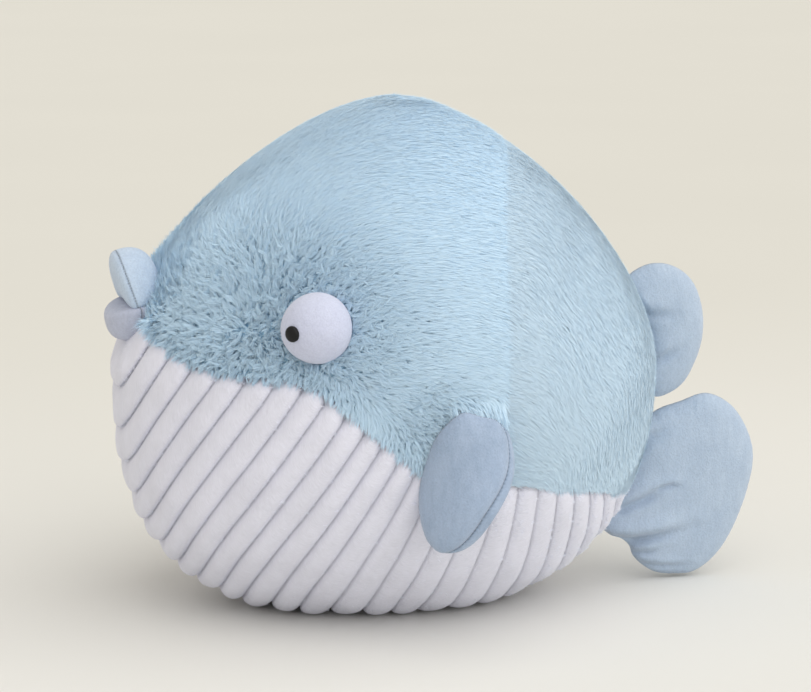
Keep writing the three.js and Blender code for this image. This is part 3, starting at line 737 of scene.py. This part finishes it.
def panel_grid(side, part):
    """Rows of points on one fur panel's backing, from its lowest corner to the crown."""
    depth = FUR_DEPTH[part]
    top = BODY_HEIGHT - depth - 0.0002
    below = np.arange(LOWEST_FUR[part] - SEAM_LAP, WIDEST_LEVEL, FUR_ROW)
    quarter = np.linspace(0, math.pi / 2, ROWS_ABOVE)
    levels = np.concatenate([below, WIDEST_LEVEL + (top - WIDEST_LEVEL) * np.sin(quarter)])
    front = length_half(-1.0, levels, depth)
    rear = length_half(1.0, levels, depth)
    from_belly = belly_seam_place(levels + SEAM_LAP)
    seam = np.minimum(side_seam_place(levels), rear)
    if part == "head":
        start = np.where(levels < belly_seam[0, 1], np.maximum(from_belly, -front), -front)
        end = np.maximum(seam, start)
    else:
        start = np.clip(np.maximum(seam, from_belly), None, rear)
        end = rear

    def angle_of(place):
        return np.arcsin(np.clip(place / np.where(place < 0, front, rear), -1, 1))

    share = np.linspace(0, 1, FUR_COLUMNS[part])[None, :]
    angle = between(angle_of(start)[:, None], angle_of(end)[:, None], share)
    points = body_points(angle, levels[:, None], depth)
    points[..., 0] = np.maximum(points[..., 0], 0) * side
    if part == "head":
        # The backing lies higher under smooth pile, and one more row closes the crown
        flat = points.reshape(-1, 3)
        lift = SMOOTH_LIFT * (1 - np.maximum(cheek(flat), by_mouth(flat)))[:, None]
        off_crown = smooth_step(0, 0.015, np.hypot(flat[:, 0], flat[:, 1]))[:, None]
        up = unit(between((0, 0, 1), body_normals(flat, depth), off_crown))
        points = (flat + up * lift * (0.7 + 0.3 * off_crown)).reshape(points.shape)
        crown = np.tile([0, 0, points[-1, :, 2].mean() + 0.0002], (1, points.shape[1], 1))
        points = np.concatenate([points, crown])
    return points


def wander(points, size, seed):
    """Smooth random vectors that change over a distance of about size."""
    rng = np.random.default_rng(seed)
    waves, usual_size = 6, 3.5
    total = np.zeros_like(points)
    for _ in range(waves):
        wave = unit(rng.normal(size=3)) * rng.uniform(0.7, 1.6) * 2 * math.pi / size
        total += np.sin(points @ wave + rng.uniform(0, 2 * math.pi))[:, None] * rng.normal(size=3)
    return total / usual_size


def by_fin(points):
    """1 just above the root of a side fin, where longer pile hangs over it."""
    along = np.abs(points[:, 1] - FIN_ROOT_ALONG - 0.001)
    above = points[:, 2] - FIN_ROOT_LEVEL
    return (1 - smooth_step(0.010, 0.017, along)) * smooth_step(-0.002, 0.0005, above) \
        * (1 - smooth_step(0.004, 0.009, above))


def head_flow(points, side):
    """Way that the head's pile lies: out from the cheek's whorl, and elsewhere back and down,
    down over the belly seam and the fins' roots, and up round the lips."""
    along, level = points[:, 1], points[:, 2]
    away = points - CHEEK_WHORL * [side, 1, 1]
    near = (1 / (1 + (np.linalg.norm(away, axis=1) / 0.060) ** 4))[:, None]
    by_seam = smooth_step(-0.035, 0, along - side_seam_place(level))[:, None]
    off_crown = smooth_step(0.02, 0.05, np.hypot(points[:, 0], along))
    upper = (smooth_step(0.150, 0.200, level) * off_crown)[:, None]
    back = between((0, 0.9, -0.1), (0, 0.7, -0.5), upper)
    back = between(back, AT_SIDE_SEAM, by_seam)
    flow = between(back, unit(away), near)
    fringe = (1 - smooth_step(0.0, 0.022, level - belly_seam_level(along)))[:, None]
    flow = between(flow, (0.15 * side, -0.15, -1.0), fringe)
    over_lips = smooth_step(0.130, 0.142, level)[:, None]
    round_mouth = between((0.15 * side, -0.9, -0.3), (0.4 * side, 0.25, 1.0), over_lips)
    flow = between(flow, round_mouth, by_mouth(points)[:, None])
    off_middle = smooth_step(0, 0.03, np.abs(points[:, 0]))[:, None]
    flow = flow * (off_middle * [1, 0, 0] + [0, 1, 1])
    flow = between(flow, (0, 0.1, -1.0), by_fin(points)[:, None])
    stray = 0.35 + 0.65 * cheek(points)[:, None]
    return unit(flow) + stray * (0.28 * wander(points, 0.05, 11) + 0.20 * wander(points, 0.014, 12))


def rear_flow(points, side):
    """Way that the rear's pile lies: back and down, and a little to its own side."""
    lateral = 0.4 * side * smooth_step(0, 0.03, np.abs(points[:, 0]))
    lie = np.stack([lateral, np.full(len(points), 0.6), np.full(len(points), -0.6)], 1)
    by_seam = 1 - smooth_step(0, 0.03, points[:, 1] - side_seam_place(points[:, 2]))[:, None]
    lie = between(lie, AT_SIDE_SEAM, by_seam)
    return unit(lie + 0.22 * wander(points, 0.05, 13)) + 0.10 * wander(points, 0.014, 14)


def clear_of_sewn_eyes(roots):
    """The roots that aren't under an eye, where it is sewn down."""
    for side in (1, -1):
        roots = roots[np.linalg.norm(roots - eye_centre(side), axis=1) > EYE_RADIUS - 0.001]
    return roots


def clear_of_eyes(points):
    """Moves points out of the eye balls, so that the pile lies round them."""
    radius = EYE_RADIUS + 0.0001
    for side in (1, -1):
        centre = eye_centre(side)
        out = points - centre
        away = np.linalg.norm(out, axis=-1, keepdims=True)
        points = np.where(away < radius, centre + unit(out) * radius, points)
    return points


def pile_look(shaggy, tufts, length, lean, tone):
    """What the pile at some roots is like, where 0 is smooth and 1 is shaggy."""
    return {"length": length, "lean": lean, "tone": tone,
            "tufts": tufts - 0.18 * shaggy,  # share of the locks that others gather to
            "gather": 0.02 + 0.43 * shaggy,
            "unruly": 0.03 + 0.72 * shaggy,  # each tuft's own way
            "stray": 0.05 + 0.07 * shaggy,  # each lock's own way
            "uneven": 0.02 + 0.12 * shaggy,  # each tuft's own lean
            "loose": 0.035 + 0.075 * shaggy,  # each lock's own lean
            "roll": 0.06 + 0.26 * shaggy,
            "tone_spread": 0.06 + 0.12 * shaggy}


def head_look(roots):
    shaggy, mouth, fin = cheek(roots), by_mouth(roots), by_fin(roots)
    # Tone, and with it how dark the roots are, falls lower down the head: painted shade, as the
    # light comes from above. It falls on the cheeks as well, partly painted shade for the gaps
    # between their tufts. Beside the lips neither is painted.
    shaded_low = smooth_step(0.215, 0.125, roots[:, 2])
    fringe = 1 - smooth_step(0.001, 0.007, roots[:, 2] - belly_seam_level(roots[:, 1]))
    lean = PILE_LEAN - 0.43 * shaggy * (1 - 0.6 * fringe) + 0.08 * fringe * (1 - shaggy) \
        - 0.18 * mouth
    return pile_look(shaggy, 0.24, PILE_LENGTH + 0.0001 * shaggy + 0.0022 * mouth + 0.0040 * fin,
                     between(lean, 0.85, fin),
                     0.82 - (0.24 * shaded_low + 0.20 * shaggy) * (1 - mouth))


def rear_look(roots):
    by_tail = smooth_step(0.024, 0.012, np.abs(roots[:, 0])) \
        * smooth_step(0.085, 0.100, roots[:, 1])
    smooth = np.zeros(len(roots))
    return pile_look(smooth, 0.22, PILE_LENGTH - 0.0022 * by_tail, smooth + PILE_LEAN, 0.72)


def grow_pile(roots, out, flow, look, rng):
    """Tapered, bent locks of pile at their roots: points and tones."""
    count = len(roots)
    picked, tuft = clumps(roots, look["tufts"], rng)
    centres = roots[picked]
    of_tuft = picked[tuft]
    curl = rng.normal(size=(len(centres), 3))[tuft]
    lie = flow[of_tuft] + look["unruly"][of_tuft][:, None] * curl
    lie = lie + look["stray"][:, None] * rng.normal(size=(count, 3))
    lie = unit(lie - (lie * out).sum(1)[:, None] * out)
    tuft_tone = rng.random(len(centres))[tuft]
    lean = look["lean"][of_tuft] + look["uneven"] * rng.normal(size=len(centres))[tuft]
    lean = np.clip(lean + look["loose"] * rng.normal(size=count), 0.15, 1.42)
    length = look["length"] * (1 + 0.15 * rng.normal(size=count)) * (0.92 + 0.16 * tuft_tone)
    way = (out * np.cos(lean)[:, None] + lie * np.sin(lean)[:, None]) * length[:, None]
    gather = look["gather"][of_tuft][:, None]
    tip = between(roots + way, centres[tuft] + way, gather)
    bend = roots + out * (0.42 * length * np.cos(lean * 0.5))[:, None] + (tip - roots) * 0.15
    t = LOCK_BEND
    middle = (1 - t) ** 2 * roots + 2 * t * (1 - t) * bend + t * t * tip
    path = clear_of_eyes(np.stack([roots, middle, tip], 1))
    varied = 0.5 * rng.normal(size=count) + 1.2 * (tuft_tone - 0.5)
    tone = np.clip(look["tone"] + look["tone_spread"] * varied, 0, 1)
    return kite_locks(path, out, PILE_WIDTH * WIDER_LOCKS, look["roll"], rng), tone


def knitted_backing(name, deep, pale):
    knit = Shading(name, 0.95, 0.2)
    loops = knit.noise(knit.place(), 900.0, 2.0)
    knit.paint(knit.mix(knit.ramp(loops, 0.3, 0.7), deep, pale))
    knit.bump(loops, 0.0008, 0.8)
    return knit.material


head_fibre = pile_fibre("head_pile", HEAD_ROOT, SMOOTH_HEAD_ROOT, HEAD_TIP, (0.86, 1.07))
rear_fibre = pile_fibre("rear_pile", REAR_ROOT, REAR_ROOT, REAR_TIP)
head_backing = knitted_backing("head_backing", HEAD_ROOT, tuple(1.3 * c for c in HEAD_ROOT))
rear_backing = knitted_backing("rear_backing", REAR_ROOT, tuple(1.1 * c for c in REAR_ROOT))

for side, hand in SIDES:
    for part, is_head in (("head", True), ("rear", False)):
        grid = panel_grid(side, part)
        faces = grid_faces(*grid.shape[:2])
        if side < 0:
            faces = faces[:, ::-1]
        backing = make_mesh(f"{part}_cloth_{hand}", grid.reshape(-1, 3), [faces])
        backing.data.materials.append(head_backing if is_head else rear_backing)
        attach(backing, "plush_body")
        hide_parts(f"{'front' if is_head else 'rear'}_fur_{hand}")
        rng = np.random.default_rng(20 + side + 3 * is_head)
        roots = clear_of_sewn_eyes(sampled(grid, PILE_DENSITY, rng)[0])
        start = PILE_START[part] + 0.003 * by_mouth(roots)
        roots = roots[roots[:, 2] > belly_seam_level(roots[:, 1]) + start]
        look = head_look(roots) if is_head else rear_look(roots)
        flow = (head_flow if is_head else rear_flow)(roots, side)
        locks, tone = grow_pile(roots, body_normals(roots, FUR_DEPTH[part]), flow, look, rng)
        add_pile(f"{part}_pile_{hand}", locks, tone, "plush_body",
                 head_fibre if is_head else rear_fibre)

# Lips: two half-round pads of smooth plush before the mouth. Each is two panels sewn together
# at the rim, turned out, filled, and sewn to the face along its straight edge.
MOUTH_RISE = 0.032
# Each lip's place off the face and from the mouth's level, its lean in degrees, half its width
# and how its ends curl back, its reach up and down, its bulge to the front and back, and the
# place of its crown. Outlines are in shares of those sizes.
UPPER_LIP = {
    "stand_off": 0.0094, "raised": 0.007, "lean": 20, "half_width": 0.0185, "curl": -0.0015,
    "above": 0.0160, "below": 0.0085, "front": 0.0035, "back": 0.0125, "middle": 0.06,
    "outline": [(-1, -0.94), (-0.95, 0.12), (-0.66, 0.67), (0, 1), (0.66, 0.67), (0.95, 0.12),
                (1, -0.94), (0.55, -1), (0, -1), (-0.55, -1)],
    "colour": (0.530, 0.640, 0.785), "deep": (0.460, 0.565, 0.720)}
LOWER_LIP = {
    "stand_off": -0.0004, "raised": -0.009, "lean": 10, "half_width": 0.0195, "curl": 0.003,
    "above": 0.0078, "below": 0.0092, "front": 0.0093, "back": 0.008, "middle": 0.11,
    "outline": [(-1, 0.89), (-0.9, 0), (-0.6, -0.67), (0, -1), (0.6, -0.67), (0.9, 0),
                (1, 0.89), (0.5, 1), (0, 1), (-0.5, 1)],
    # Darker and greyer than the upper lip: partly the cloth's own greyer lilac, partly painted
    # shade from the upper lip above it
    "colour": (0.480, 0.520, 0.650), "deep": (0.420, 0.455, 0.580)}
LIP_PUCKER = 0.0002
LIP_SEWN_DEPTH = 0.0022  # of its back in the pile
SMOOTH_PILE = {"brushing": (330.0, 260.0, 90.0), "uneven": 0.6, "nap": 1100.0,
               "patches": 70.0, "brushed": 0.5, "patchy": 0.4, "speckle": 0.05,
               "nap_bump": (0.0006, 0.6), "lay_bump": (0.0009, 0.4)}
PANEL_SKIN = 0.00165  # cloth, and half the gap between the panels
RIM_SHARE = 0.978  # of the outline, where the seam between the panels lies, drawn in
RIM_WIDTH = 0.13  # share of the pad over which its cloth is gathered
STITCH_WIDTH = 0.0006
AROUND_PAD = 240
# Rings of a pad: shares of its outline, and shares of its bulge there
PAD_SHARES = np.sin(np.linspace(0.04, 0.995 * math.pi / 2, 44))
PAD_HEIGHTS = (1 - PAD_SHARES ** 2.6) ** 0.45


def closed_outline(points, count):
    """Evenly spaced points on a smooth closed line through given ones."""
    p = np.array(points, float)
    ring = np.vstack([p[-1:], p, p[:2]])
    line = []
    for k in range(len(p)):
        a, b, c, d = ring[k:k + 4]
        ta = 0.0
        tb = ta + np.linalg.norm(b - a) ** 0.5
        tc = tb + np.linalg.norm(c - b) ** 0.5
        td = tc + np.linalg.norm(d - c) ** 0.5
        for t in np.linspace(tb, tc, 24, endpoint=False):
            ab = a + (b - a) * (t - ta) / (tb - ta)
            bc = b + (c - b) * (t - tb) / (tc - tb)
            cd = c + (d - c) * (t - tc) / (td - tc)
            abc = ab + (bc - ab) * (t - ta) / (tc - ta)
            bcd = bc + (cd - bc) * (t - tb) / (td - tb)
            line.append(abc + (bcd - abc) * (t - tb) / (tc - tb))
    line = np.array([*line, line[0]])
    walked = np.concatenate([[0], np.cumsum(np.linalg.norm(np.diff(line, axis=0), axis=1))])
    marks = np.arange(count) / count * walked[-1]
    return np.stack([np.interp(marks, walked, line[:, 0]), np.interp(marks, walked, line[:, 1])], 1)


def pad_mesh(name, outline, middle, place, front, back, shape, seed, pucker, sag=0.0):
    """A pad of two panels: rings of points from the middle of the front one to its rim seam,
    and on from the seam to the middle of the back one. place puts (u, v, height) in space,
    and shape moves the points there. sag is how far the back one hangs over the rim on its
    v side."""
    rng = np.random.default_rng(seed)
    ring = closed_outline(outline, AROUND_PAD)
    middle = np.array(middle, float)
    around = turns(AROUND_PAD)
    waves = rng.uniform(16, 46, 5)
    gathers = sum(np.sin(round(n) * around + rng.uniform(0, 6.3)) for n in waves) / 3
    front, back = front + PANEL_SKIN, back + PANEL_SKIN
    rows = [(share, rise * front, 0.0) for share, rise in zip(PAD_SHARES, PAD_HEIGHTS)]
    rows.append((RIM_SHARE, 0.0, 0.0))
    for share, rise in zip(PAD_SHARES[::-1], PAD_HEIGHTS[::-1]):
        rows.append((share, -rise * back, sag * math.sin(math.pi * min(1, rise / 0.8))))
    points = []
    for share, height, hang in rows:
        near_rim = math.exp(-((1 - share) / RIM_WIDTH) ** 2)
        dip = pucker * near_rim * np.abs(gathers) * np.sign(height)
        flat = middle + (ring - middle) * share
        points.append(place(flat[:, 0], flat[:, 1] + hang, height - dip))
    tops = [place(middle[:1], middle[1:], np.array([height]))[0] for height in (front, -back)]
    points = shape(np.array(points)).reshape(-1, 3)
    tops = shape(np.array(tops)[:, None])[:, 0]
    piece = make_mesh(name, np.vstack([points, tops]), ring_faces(len(rows), AROUND_PAD))
    seam = [math.exp(-(height / STITCH_WIDTH) ** 2) for _, height, _ in rows]
    point_values(piece, "seam", [*np.repeat(seam, AROUND_PAD), 0, 0])
    point_values(piece, "round", [*np.tile(around, len(rows)), 0, 0])
    face_outward(piece)
    return piece


def face_outward(piece):
    """Turns all faces over if they point inwards."""
    mesh = piece.data
    if sum(p.center.dot(p.normal) * p.area for p in mesh.polygons) < 0:
        mesh.flip_normals()


def lip_place(lip):
    lean = math.radians(lip["lean"])
    up = np.array([0, -math.sin(lean), math.cos(lean)])
    ahead = np.array([0, -math.cos(lean), -math.sin(lean)])
    level = WIDEST_LEVEL + MOUTH_RISE + lip["raised"]
    centre = np.array([0, -float(length_half(-1.0, level)) - lip["stand_off"], level])

    def place(u, v, height):
        curl = (u / lip["half_width"]) ** 2 * lip["curl"]
        return centre + v[:, None] * up + (height - curl)[:, None] * ahead \
            + u[:, None] * np.array([1.0, 0, 0])
    return place


def body_depth(points):
    """How far inside the body's outside each point is, roughly, negative beyond it."""
    farthest_out, farthest_in, halvings = -0.03, 0.06, 18
    x, y, z = points[:, 0], points[:, 1], points[:, 2]
    low = np.full(len(points), farthest_out)
    high = np.full(len(points), farthest_in)
    for _ in range(halvings):
        middle = (low + high) / 2
        level = np.minimum(z, BODY_HEIGHT - middle - 1e-5)
        within = (outline_share(x, y, level, middle) < 1) & (z < BODY_HEIGHT - middle)
        low = np.where(within, middle, low)
        high = np.where(within, high, middle)
    return low


def pushed_out(points, allowed):
    """Moves points outwards that lie deeper in the tips of the pile than is allowed."""
    flat = points.reshape(-1, 3)
    over = np.maximum(body_depth(flat) - allowed, 0)[:, None]
    return (flat + body_normals(flat, 0.0) * over).reshape(points.shape)


def fitted_to_face(points):
    return pushed_out(points, LIP_SEWN_DEPTH)


for name, lip in (("upper_lip", UPPER_LIP), ("lower_lip", LOWER_LIP)):
    spots = [(u * lip["half_width"], v * (lip["above"] if v > 0 else lip["below"]))
             for u, v in lip["outline"]]
    pad = pad_mesh(name, spots, (0, lip["middle"] * lip["above"]), lip_place(lip),
                   lip["front"], lip["back"], fitted_to_face, 31, LIP_PUCKER)
    lip_cloth = plush(f"{name}_plush", lip["colour"], lip["deep"], SMOOTH_PILE, rim_seam=True)
    pad.data.materials.append(lip_cloth)
    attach(pad, "plush_body")
    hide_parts(f"{name}_inner", f"{name}_outer", f"{name}_stuffing")

# Side fins: a padded paddle on each side, two panels of smooth plush sewn together at the rim
# and filled. Each hangs from a short edge sewn into the flank, and turns to face forward.
FIN_LENGTH = 0.060
FIN_HALF_WIDTH = 0.0176
FIN_FRONT_BULGE = 0.0065
FIN_BACK_BULGE = 0.0112
FIN_TWIST = math.radians(51)
FIN_SWEEP = math.radians(17.5)
FIN_ROOT_OFF = 0.0034
FIN_SAG = 0.0035
FIN_PUCKER = 0.00035
FIN_SEWN_DEPTH = 0.0025  # of its root in the pile
FIN_CLEARANCE = 0.0004  # of the rest of it, off the pile
FIN_OUTLINE = [(0.01, -0.45), (0.15, -0.78), (0.4, -0.96), (0.63, -1), (0.84, -0.7),
               (0.97, -0.28), (1, 0.12), (0.92, 0.5), (0.73, 0.84), (0.5, 1), (0.25, 0.96),
               (0.07, 0.72), (0, 0.4), (0, 0)]
# The fins' plush is drawn darker than the tail's, which is the same cloth: painted shade, as the
# fins face forward and down, away from the light
FIN_SHADED_COLOUR = (0.365, 0.455, 0.605)
FIN_SHADED_DEEP = (0.292, 0.380, 0.520)


def side_at(along, level):
    return float(side_half(level) * np.sqrt(1 - (along / length_half(along, level)) ** 2))


def fin_place(side):
    root = np.array([side_at(FIN_ROOT_ALONG, FIN_ROOT_LEVEL) + FIN_ROOT_OFF, FIN_ROOT_ALONG,
                     FIN_ROOT_LEVEL])
    down = np.array([0, -math.sin(FIN_SWEEP), -math.cos(FIN_SWEEP)])

    def place(u, v, height):
        turn = FIN_TWIST * smooth_step(0, 0.7 * FIN_LENGTH, u)
        across = np.stack([np.sin(turn), np.cos(turn) * math.cos(FIN_SWEEP),
                           -np.cos(turn) * math.sin(FIN_SWEEP)], 1)
        face = np.stack([np.cos(turn), -np.sin(turn), np.zeros_like(turn)], 1)
        points = root + u[:, None] * down + v[:, None] * across + np.reshape(height, (-1, 1)) * face
        return points * [side, 1, 1]
    return place


def clear_of_flank(points):
    """Keeps a fin off the tips of the pile, apart from its root, which is sewn down in it."""
    from_root = FIN_ROOT_LEVEL - points.reshape(-1, 3)[:, 2]
    root = 1 - smooth_step(0.004, 0.014, from_root)
    return pushed_out(points, FIN_SEWN_DEPTH * root - FIN_CLEARANCE)


fin_cloth = plush("fin_plush", FIN_SHADED_COLOUR, FIN_SHADED_DEEP, SMOOTH_PILE, rim_seam=True)
fin_spots = [(u * FIN_LENGTH, v * FIN_HALF_WIDTH) for u, v in FIN_OUTLINE]
for side, hand in SIDES:
    pad = pad_mesh(f"{hand}_fin", fin_spots, (0.52 * FIN_LENGTH, 0), fin_place(side),
                   FIN_FRONT_BULGE, FIN_BACK_BULGE, clear_of_flank, 41, FIN_PUCKER, FIN_SAG)
    pad.data.materials.append(fin_cloth)
    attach(pad, f"{hand}_fin")
    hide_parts(f"{hand}_fin_front", f"{hand}_fin_back", f"{hand}_fin_stuffing")

# Tail: two upright lobes of the same smooth plush, one above the other, each two panels sewn
# at the rim, filled, and sewn along its front edge to the rear. The lower one is larger; it
# hangs to the floor, where its foot folds under it.
TAIL_BULGE = 0.0078
TAIL_ROOT_OFF = 0.00085
TAIL_PUCKER = 0.0004
TAIL_OFF_FLOOR = 0.0016
# Each lobe's reach from the rear, its lowest and highest level, its middle, and its root edge
# and outline in shares of those. Its folds go from the root outwards: points along and up,
# rise above the line, depth below it, and width.
UPPER_LOBE = {
    "reach": 0.0285, "low": 0.0865, "high": 0.149, "middle": (0.39, 0.5),
    "root": (0.89, 0.66, 0.44, 0.23, 0.07),
    "outline": [(0.21, 0), (0.46, 0.03), (0.67, 0.1), (0.84, 0.23), (0.96, 0.38), (1, 0.54),
                (0.95, 0.71), (0.81, 0.86), (0.6, 0.95), (0.32, 1), (0, 0.99)],
    "folds": [
        ([(0.108, 0.130), (0.124, 0.127), (0.134, 0.127)], 0.0008, 0.0026, 0.0040),
        ([(0.112, 0.102), (0.127, 0.107), (0.136, 0.111)], 0.0008, 0.0026, 0.0040)]}
LOWER_LOBE = {
    "reach": 0.0545, "low": 0.0014, "high": 0.087, "middle": (0.35, 0.52),
    "root": (0.825, 0.685, 0.53, 0.42, 0.335),
    "outline": [(-0.285, 0.240), (-0.175, 0.212), (-0.108, 0.172), (-0.076, 0.118),
                (0.0, 0.066), (0.12, 0.018), (0.27, 0), (0.43, 0), (0.57, 0.04), (0.74, 0.15),
                (0.92, 0.39), (1, 0.64), (0.94, 0.79), (0.79, 0.93), (0.57, 1), (0.33, 0.96),
                (0.13, 0.92)],
    "folds": [
        ([(0.1040, 0.0212), (0.1140, 0.0203), (0.1230, 0.0218), (0.1330, 0.0240),
          (0.1440, 0.0262)], 0.0030, 0.0042, 0.0042),
        ([(0.1145, 0.0138), (0.1225, 0.0140), (0.1285, 0.0160)], 0.0014, 0.0020, 0.0026),
        ([(0.1175, 0.0088), (0.1290, 0.0070), (0.1450, 0.0066)], 0.0012, 0.0018, 0.0024),
        ([(0.1090, 0.0360), (0.1190, 0.0400), (0.1290, 0.0455)], 0.0018, 0.0038, 0.0044),
        ([(0.1270, 0.0450), (0.1330, 0.0462), (0.1380, 0.0450)], 0.0008, 0.0014, 0.0022),
        ([(0.1120, 0.0600), (0.1220, 0.0690), (0.1320, 0.0740)], 0.0012, 0.0026, 0.0048)]}
TAIL_COLOUR = (0.448, 0.545, 0.675)
TAIL_DEEP = (0.386, 0.480, 0.613)


def from_line(y, z, line):
    """Distance from a broken line, positive above it, and the share of it walked there."""
    best = np.full(y.shape, 1.0)
    signed = np.zeros(y.shape)
    share = np.zeros(y.shape)
    for k, ((ay, az), (by, bz)) in enumerate(zip(line[:-1], line[1:])):
        dy, dz = by - ay, bz - az
        t = np.clip(((y - ay) * dy + (z - az) * dz) / (dy * dy + dz * dz), 0, 1)
        away = np.hypot(y - ay - t * dy, z - az - t * dz)
        above = np.where((z - az) * dy - (y - ay) * dz > 0, 1, -1)
        nearer = away < best
        share = np.where(nearer, (k + t) / (len(line) - 1), share)
        signed = np.where(nearer, away * above, signed)
        best = np.minimum(best, away)
    return signed, share


def folded(folds):
    """Pushes the cloth out above each fold's line and in below it, less on the right side."""
    def shape(points):
        points = points.copy()
        y, z = points[..., 1], points[..., 2]
        side = np.sign(points[..., 0])
        firm = np.where(side > 0, 1.0, 0.45)
        for line, rise, deep, wide in folds:
            away, share = from_line(y, z, line)
            fade = 1 - smooth_step(0.5, 1.0, share) * 0.9
            out = rise * np.exp(-((away - 0.9 * wide) / wide) ** 2)
            cut = deep * np.exp(-((away + 0.25 * wide) / (0.55 * wide)) ** 2)
            thick = np.abs(points[..., 0])
            full = smooth_step(0.0, 0.003, thick)
            points[..., 0] += side * fade * firm * np.maximum(out * full - cut, -0.72 * thick)
        points[..., 2] = np.maximum(points[..., 2], TAIL_OFF_FLOOR)
        return points
    return shape


def lobe_outline(lobe):
    """Points along and up round a lobe, whose root edge follows the rear, and its middle."""
    def level_at(up):
        return lobe["low"] + (lobe["high"] - lobe["low"]) * up

    def spot(across, up):
        return REAR_REACH + across * lobe["reach"], level_at(up)

    root = [(float(length_half(1.0, level_at(up))) + TAIL_ROOT_OFF, level_at(up))
            for up in lobe["root"]]
    return root + [spot(*p) for p in lobe["outline"]], spot(*lobe["middle"])


def upright(u, v, height):
    return np.stack([height * np.ones_like(u), u, v], 1)


tail_cloth = plush("tail_plush", TAIL_COLOUR, TAIL_DEEP, SMOOTH_PILE, rim_seam=True)
for name, lobe in (("upper_tail", UPPER_LOBE), ("lower_tail", LOWER_LOBE)):
    pad = pad_mesh(name, *lobe_outline(lobe), upright, TAIL_BULGE, TAIL_BULGE,
                   folded(lobe["folds"]), 51, TAIL_PUCKER)
    pad.data.materials.append(tail_cloth)
    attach(pad, name)
    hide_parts(f"{name}_left", f"{name}_right", f"{name}_stuffing")

# Stage: a pale warm floor, soft daylight from above and behind the tail, and the camera at the
# photograph's viewing angle.
VIEW_ALONG = math.radians(76)
VIEW_DOWN = math.radians(10)
VIEW_DISTANCE = 1.5
VIEW_CENTRE = Vector((0, MIDDLE_Y, 0.1155))
FRAME_WIDTH = 811
PIXELS_PER_METRE = 2200  # at the body's middle
FRAME_SHIFT = (0.0186, 0.0006)
SENSOR = 36.0
FLOOR_EDGE = 12.0
FLOOR_NEAR = (0.778, 0.774, 0.744)
FLOOR_FAR = (0.690, 0.680, 0.630)
SKY_LIGHT = (0.605, 0.575, 0.525, 1)
BACKDROP = (0.740, 0.725, 0.640, 1)


def floor_finish():
    floor = Shading("floor_paper", 0.95)
    floor.shader.inputs["Specular IOR Level"].default_value = 0.0
    where = floor.add("ShaderNodeSeparateXYZ", {0: floor.place()}).outputs[0]
    far = floor.ramp(where, 0.15, -0.9)
    grain = floor.noise(floor.place(), 3.0, 2.0)
    colour = floor.mix(far, FLOOR_NEAR, FLOOR_FAR)
    floor.paint(floor.scaled(colour, floor.ramp(grain, 0.3, 0.7, 0.995, 1.005)))
    return floor.material


def add_floor():
    mesh = bpy.data.meshes.new("floor")
    corners = [(x * FLOOR_EDGE, y * FLOOR_EDGE, 0) for x, y in ((-1, -1), (1, -1), (1, 1), (-1, 1))]
    mesh.from_pydata(corners, [], [(0, 1, 2, 3)])
    floor = bpy.data.objects.new("floor", mesh)
    bpy.context.scene.collection.objects.link(floor)
    mesh.materials.append(floor_finish())


def add_lamp(name, way, spread, strength, colour):
    data = bpy.data.lights.new(name, "SUN")
    data.energy = strength
    data.angle = math.radians(spread)
    data.color = colour
    lamp = bpy.data.objects.new(name, data)
    bpy.context.scene.collection.objects.link(lamp)
    lamp.rotation_euler = Vector(way).to_track_quat("Z", "Y").to_euler()


def add_view():
    toward = Vector((math.sin(VIEW_ALONG) * math.cos(VIEW_DOWN),
                     -math.cos(VIEW_ALONG) * math.cos(VIEW_DOWN), math.sin(VIEW_DOWN)))
    data = bpy.data.cameras.new("camera")
    data.sensor_fit = "HORIZONTAL"
    data.sensor_width = SENSOR
    data.lens = SENSOR * PIXELS_PER_METRE * VIEW_DISTANCE / FRAME_WIDTH
    data.shift_x, data.shift_y = FRAME_SHIFT
    data.clip_end = 60.0
    camera = bpy.data.objects.new("camera", data)
    bpy.context.scene.collection.objects.link(camera)
    camera.location = VIEW_CENTRE + toward * VIEW_DISTANCE
    camera.rotation_euler = toward.to_track_quat("Z", "Y").to_euler()
    bpy.context.scene.camera = camera


def add_sky():
    world = bpy.data.worlds.new("daylight")
    world.use_nodes = True
    bpy.context.scene.world = world
    nodes, links = world.node_tree.nodes, world.node_tree.links
    seen = nodes.new("ShaderNodeMix")
    seen.data_type = "RGBA"
    seen.inputs[6].default_value = SKY_LIGHT
    seen.inputs[7].default_value = BACKDROP
    links.new(nodes.new("ShaderNodeLightPath").outputs["Is Camera Ray"], seen.inputs[0])
    links.new(seen.outputs[2], nodes["Background"].inputs[0])
    nodes["Background"].inputs[1].default_value = 1.0


add_floor()
add_lamp("daylight_window", (0.50, 0.60, 0.72), 110, 1.85, (1.0, 1.0, 1.0))
add_lamp("front_fill", (0.74, -0.46, 0.60), 110, 0.52, (1.0, 1.0, 1.0))
add_sky()
add_view()
bpy.context.scene.view_settings.view_transform = "Standard"
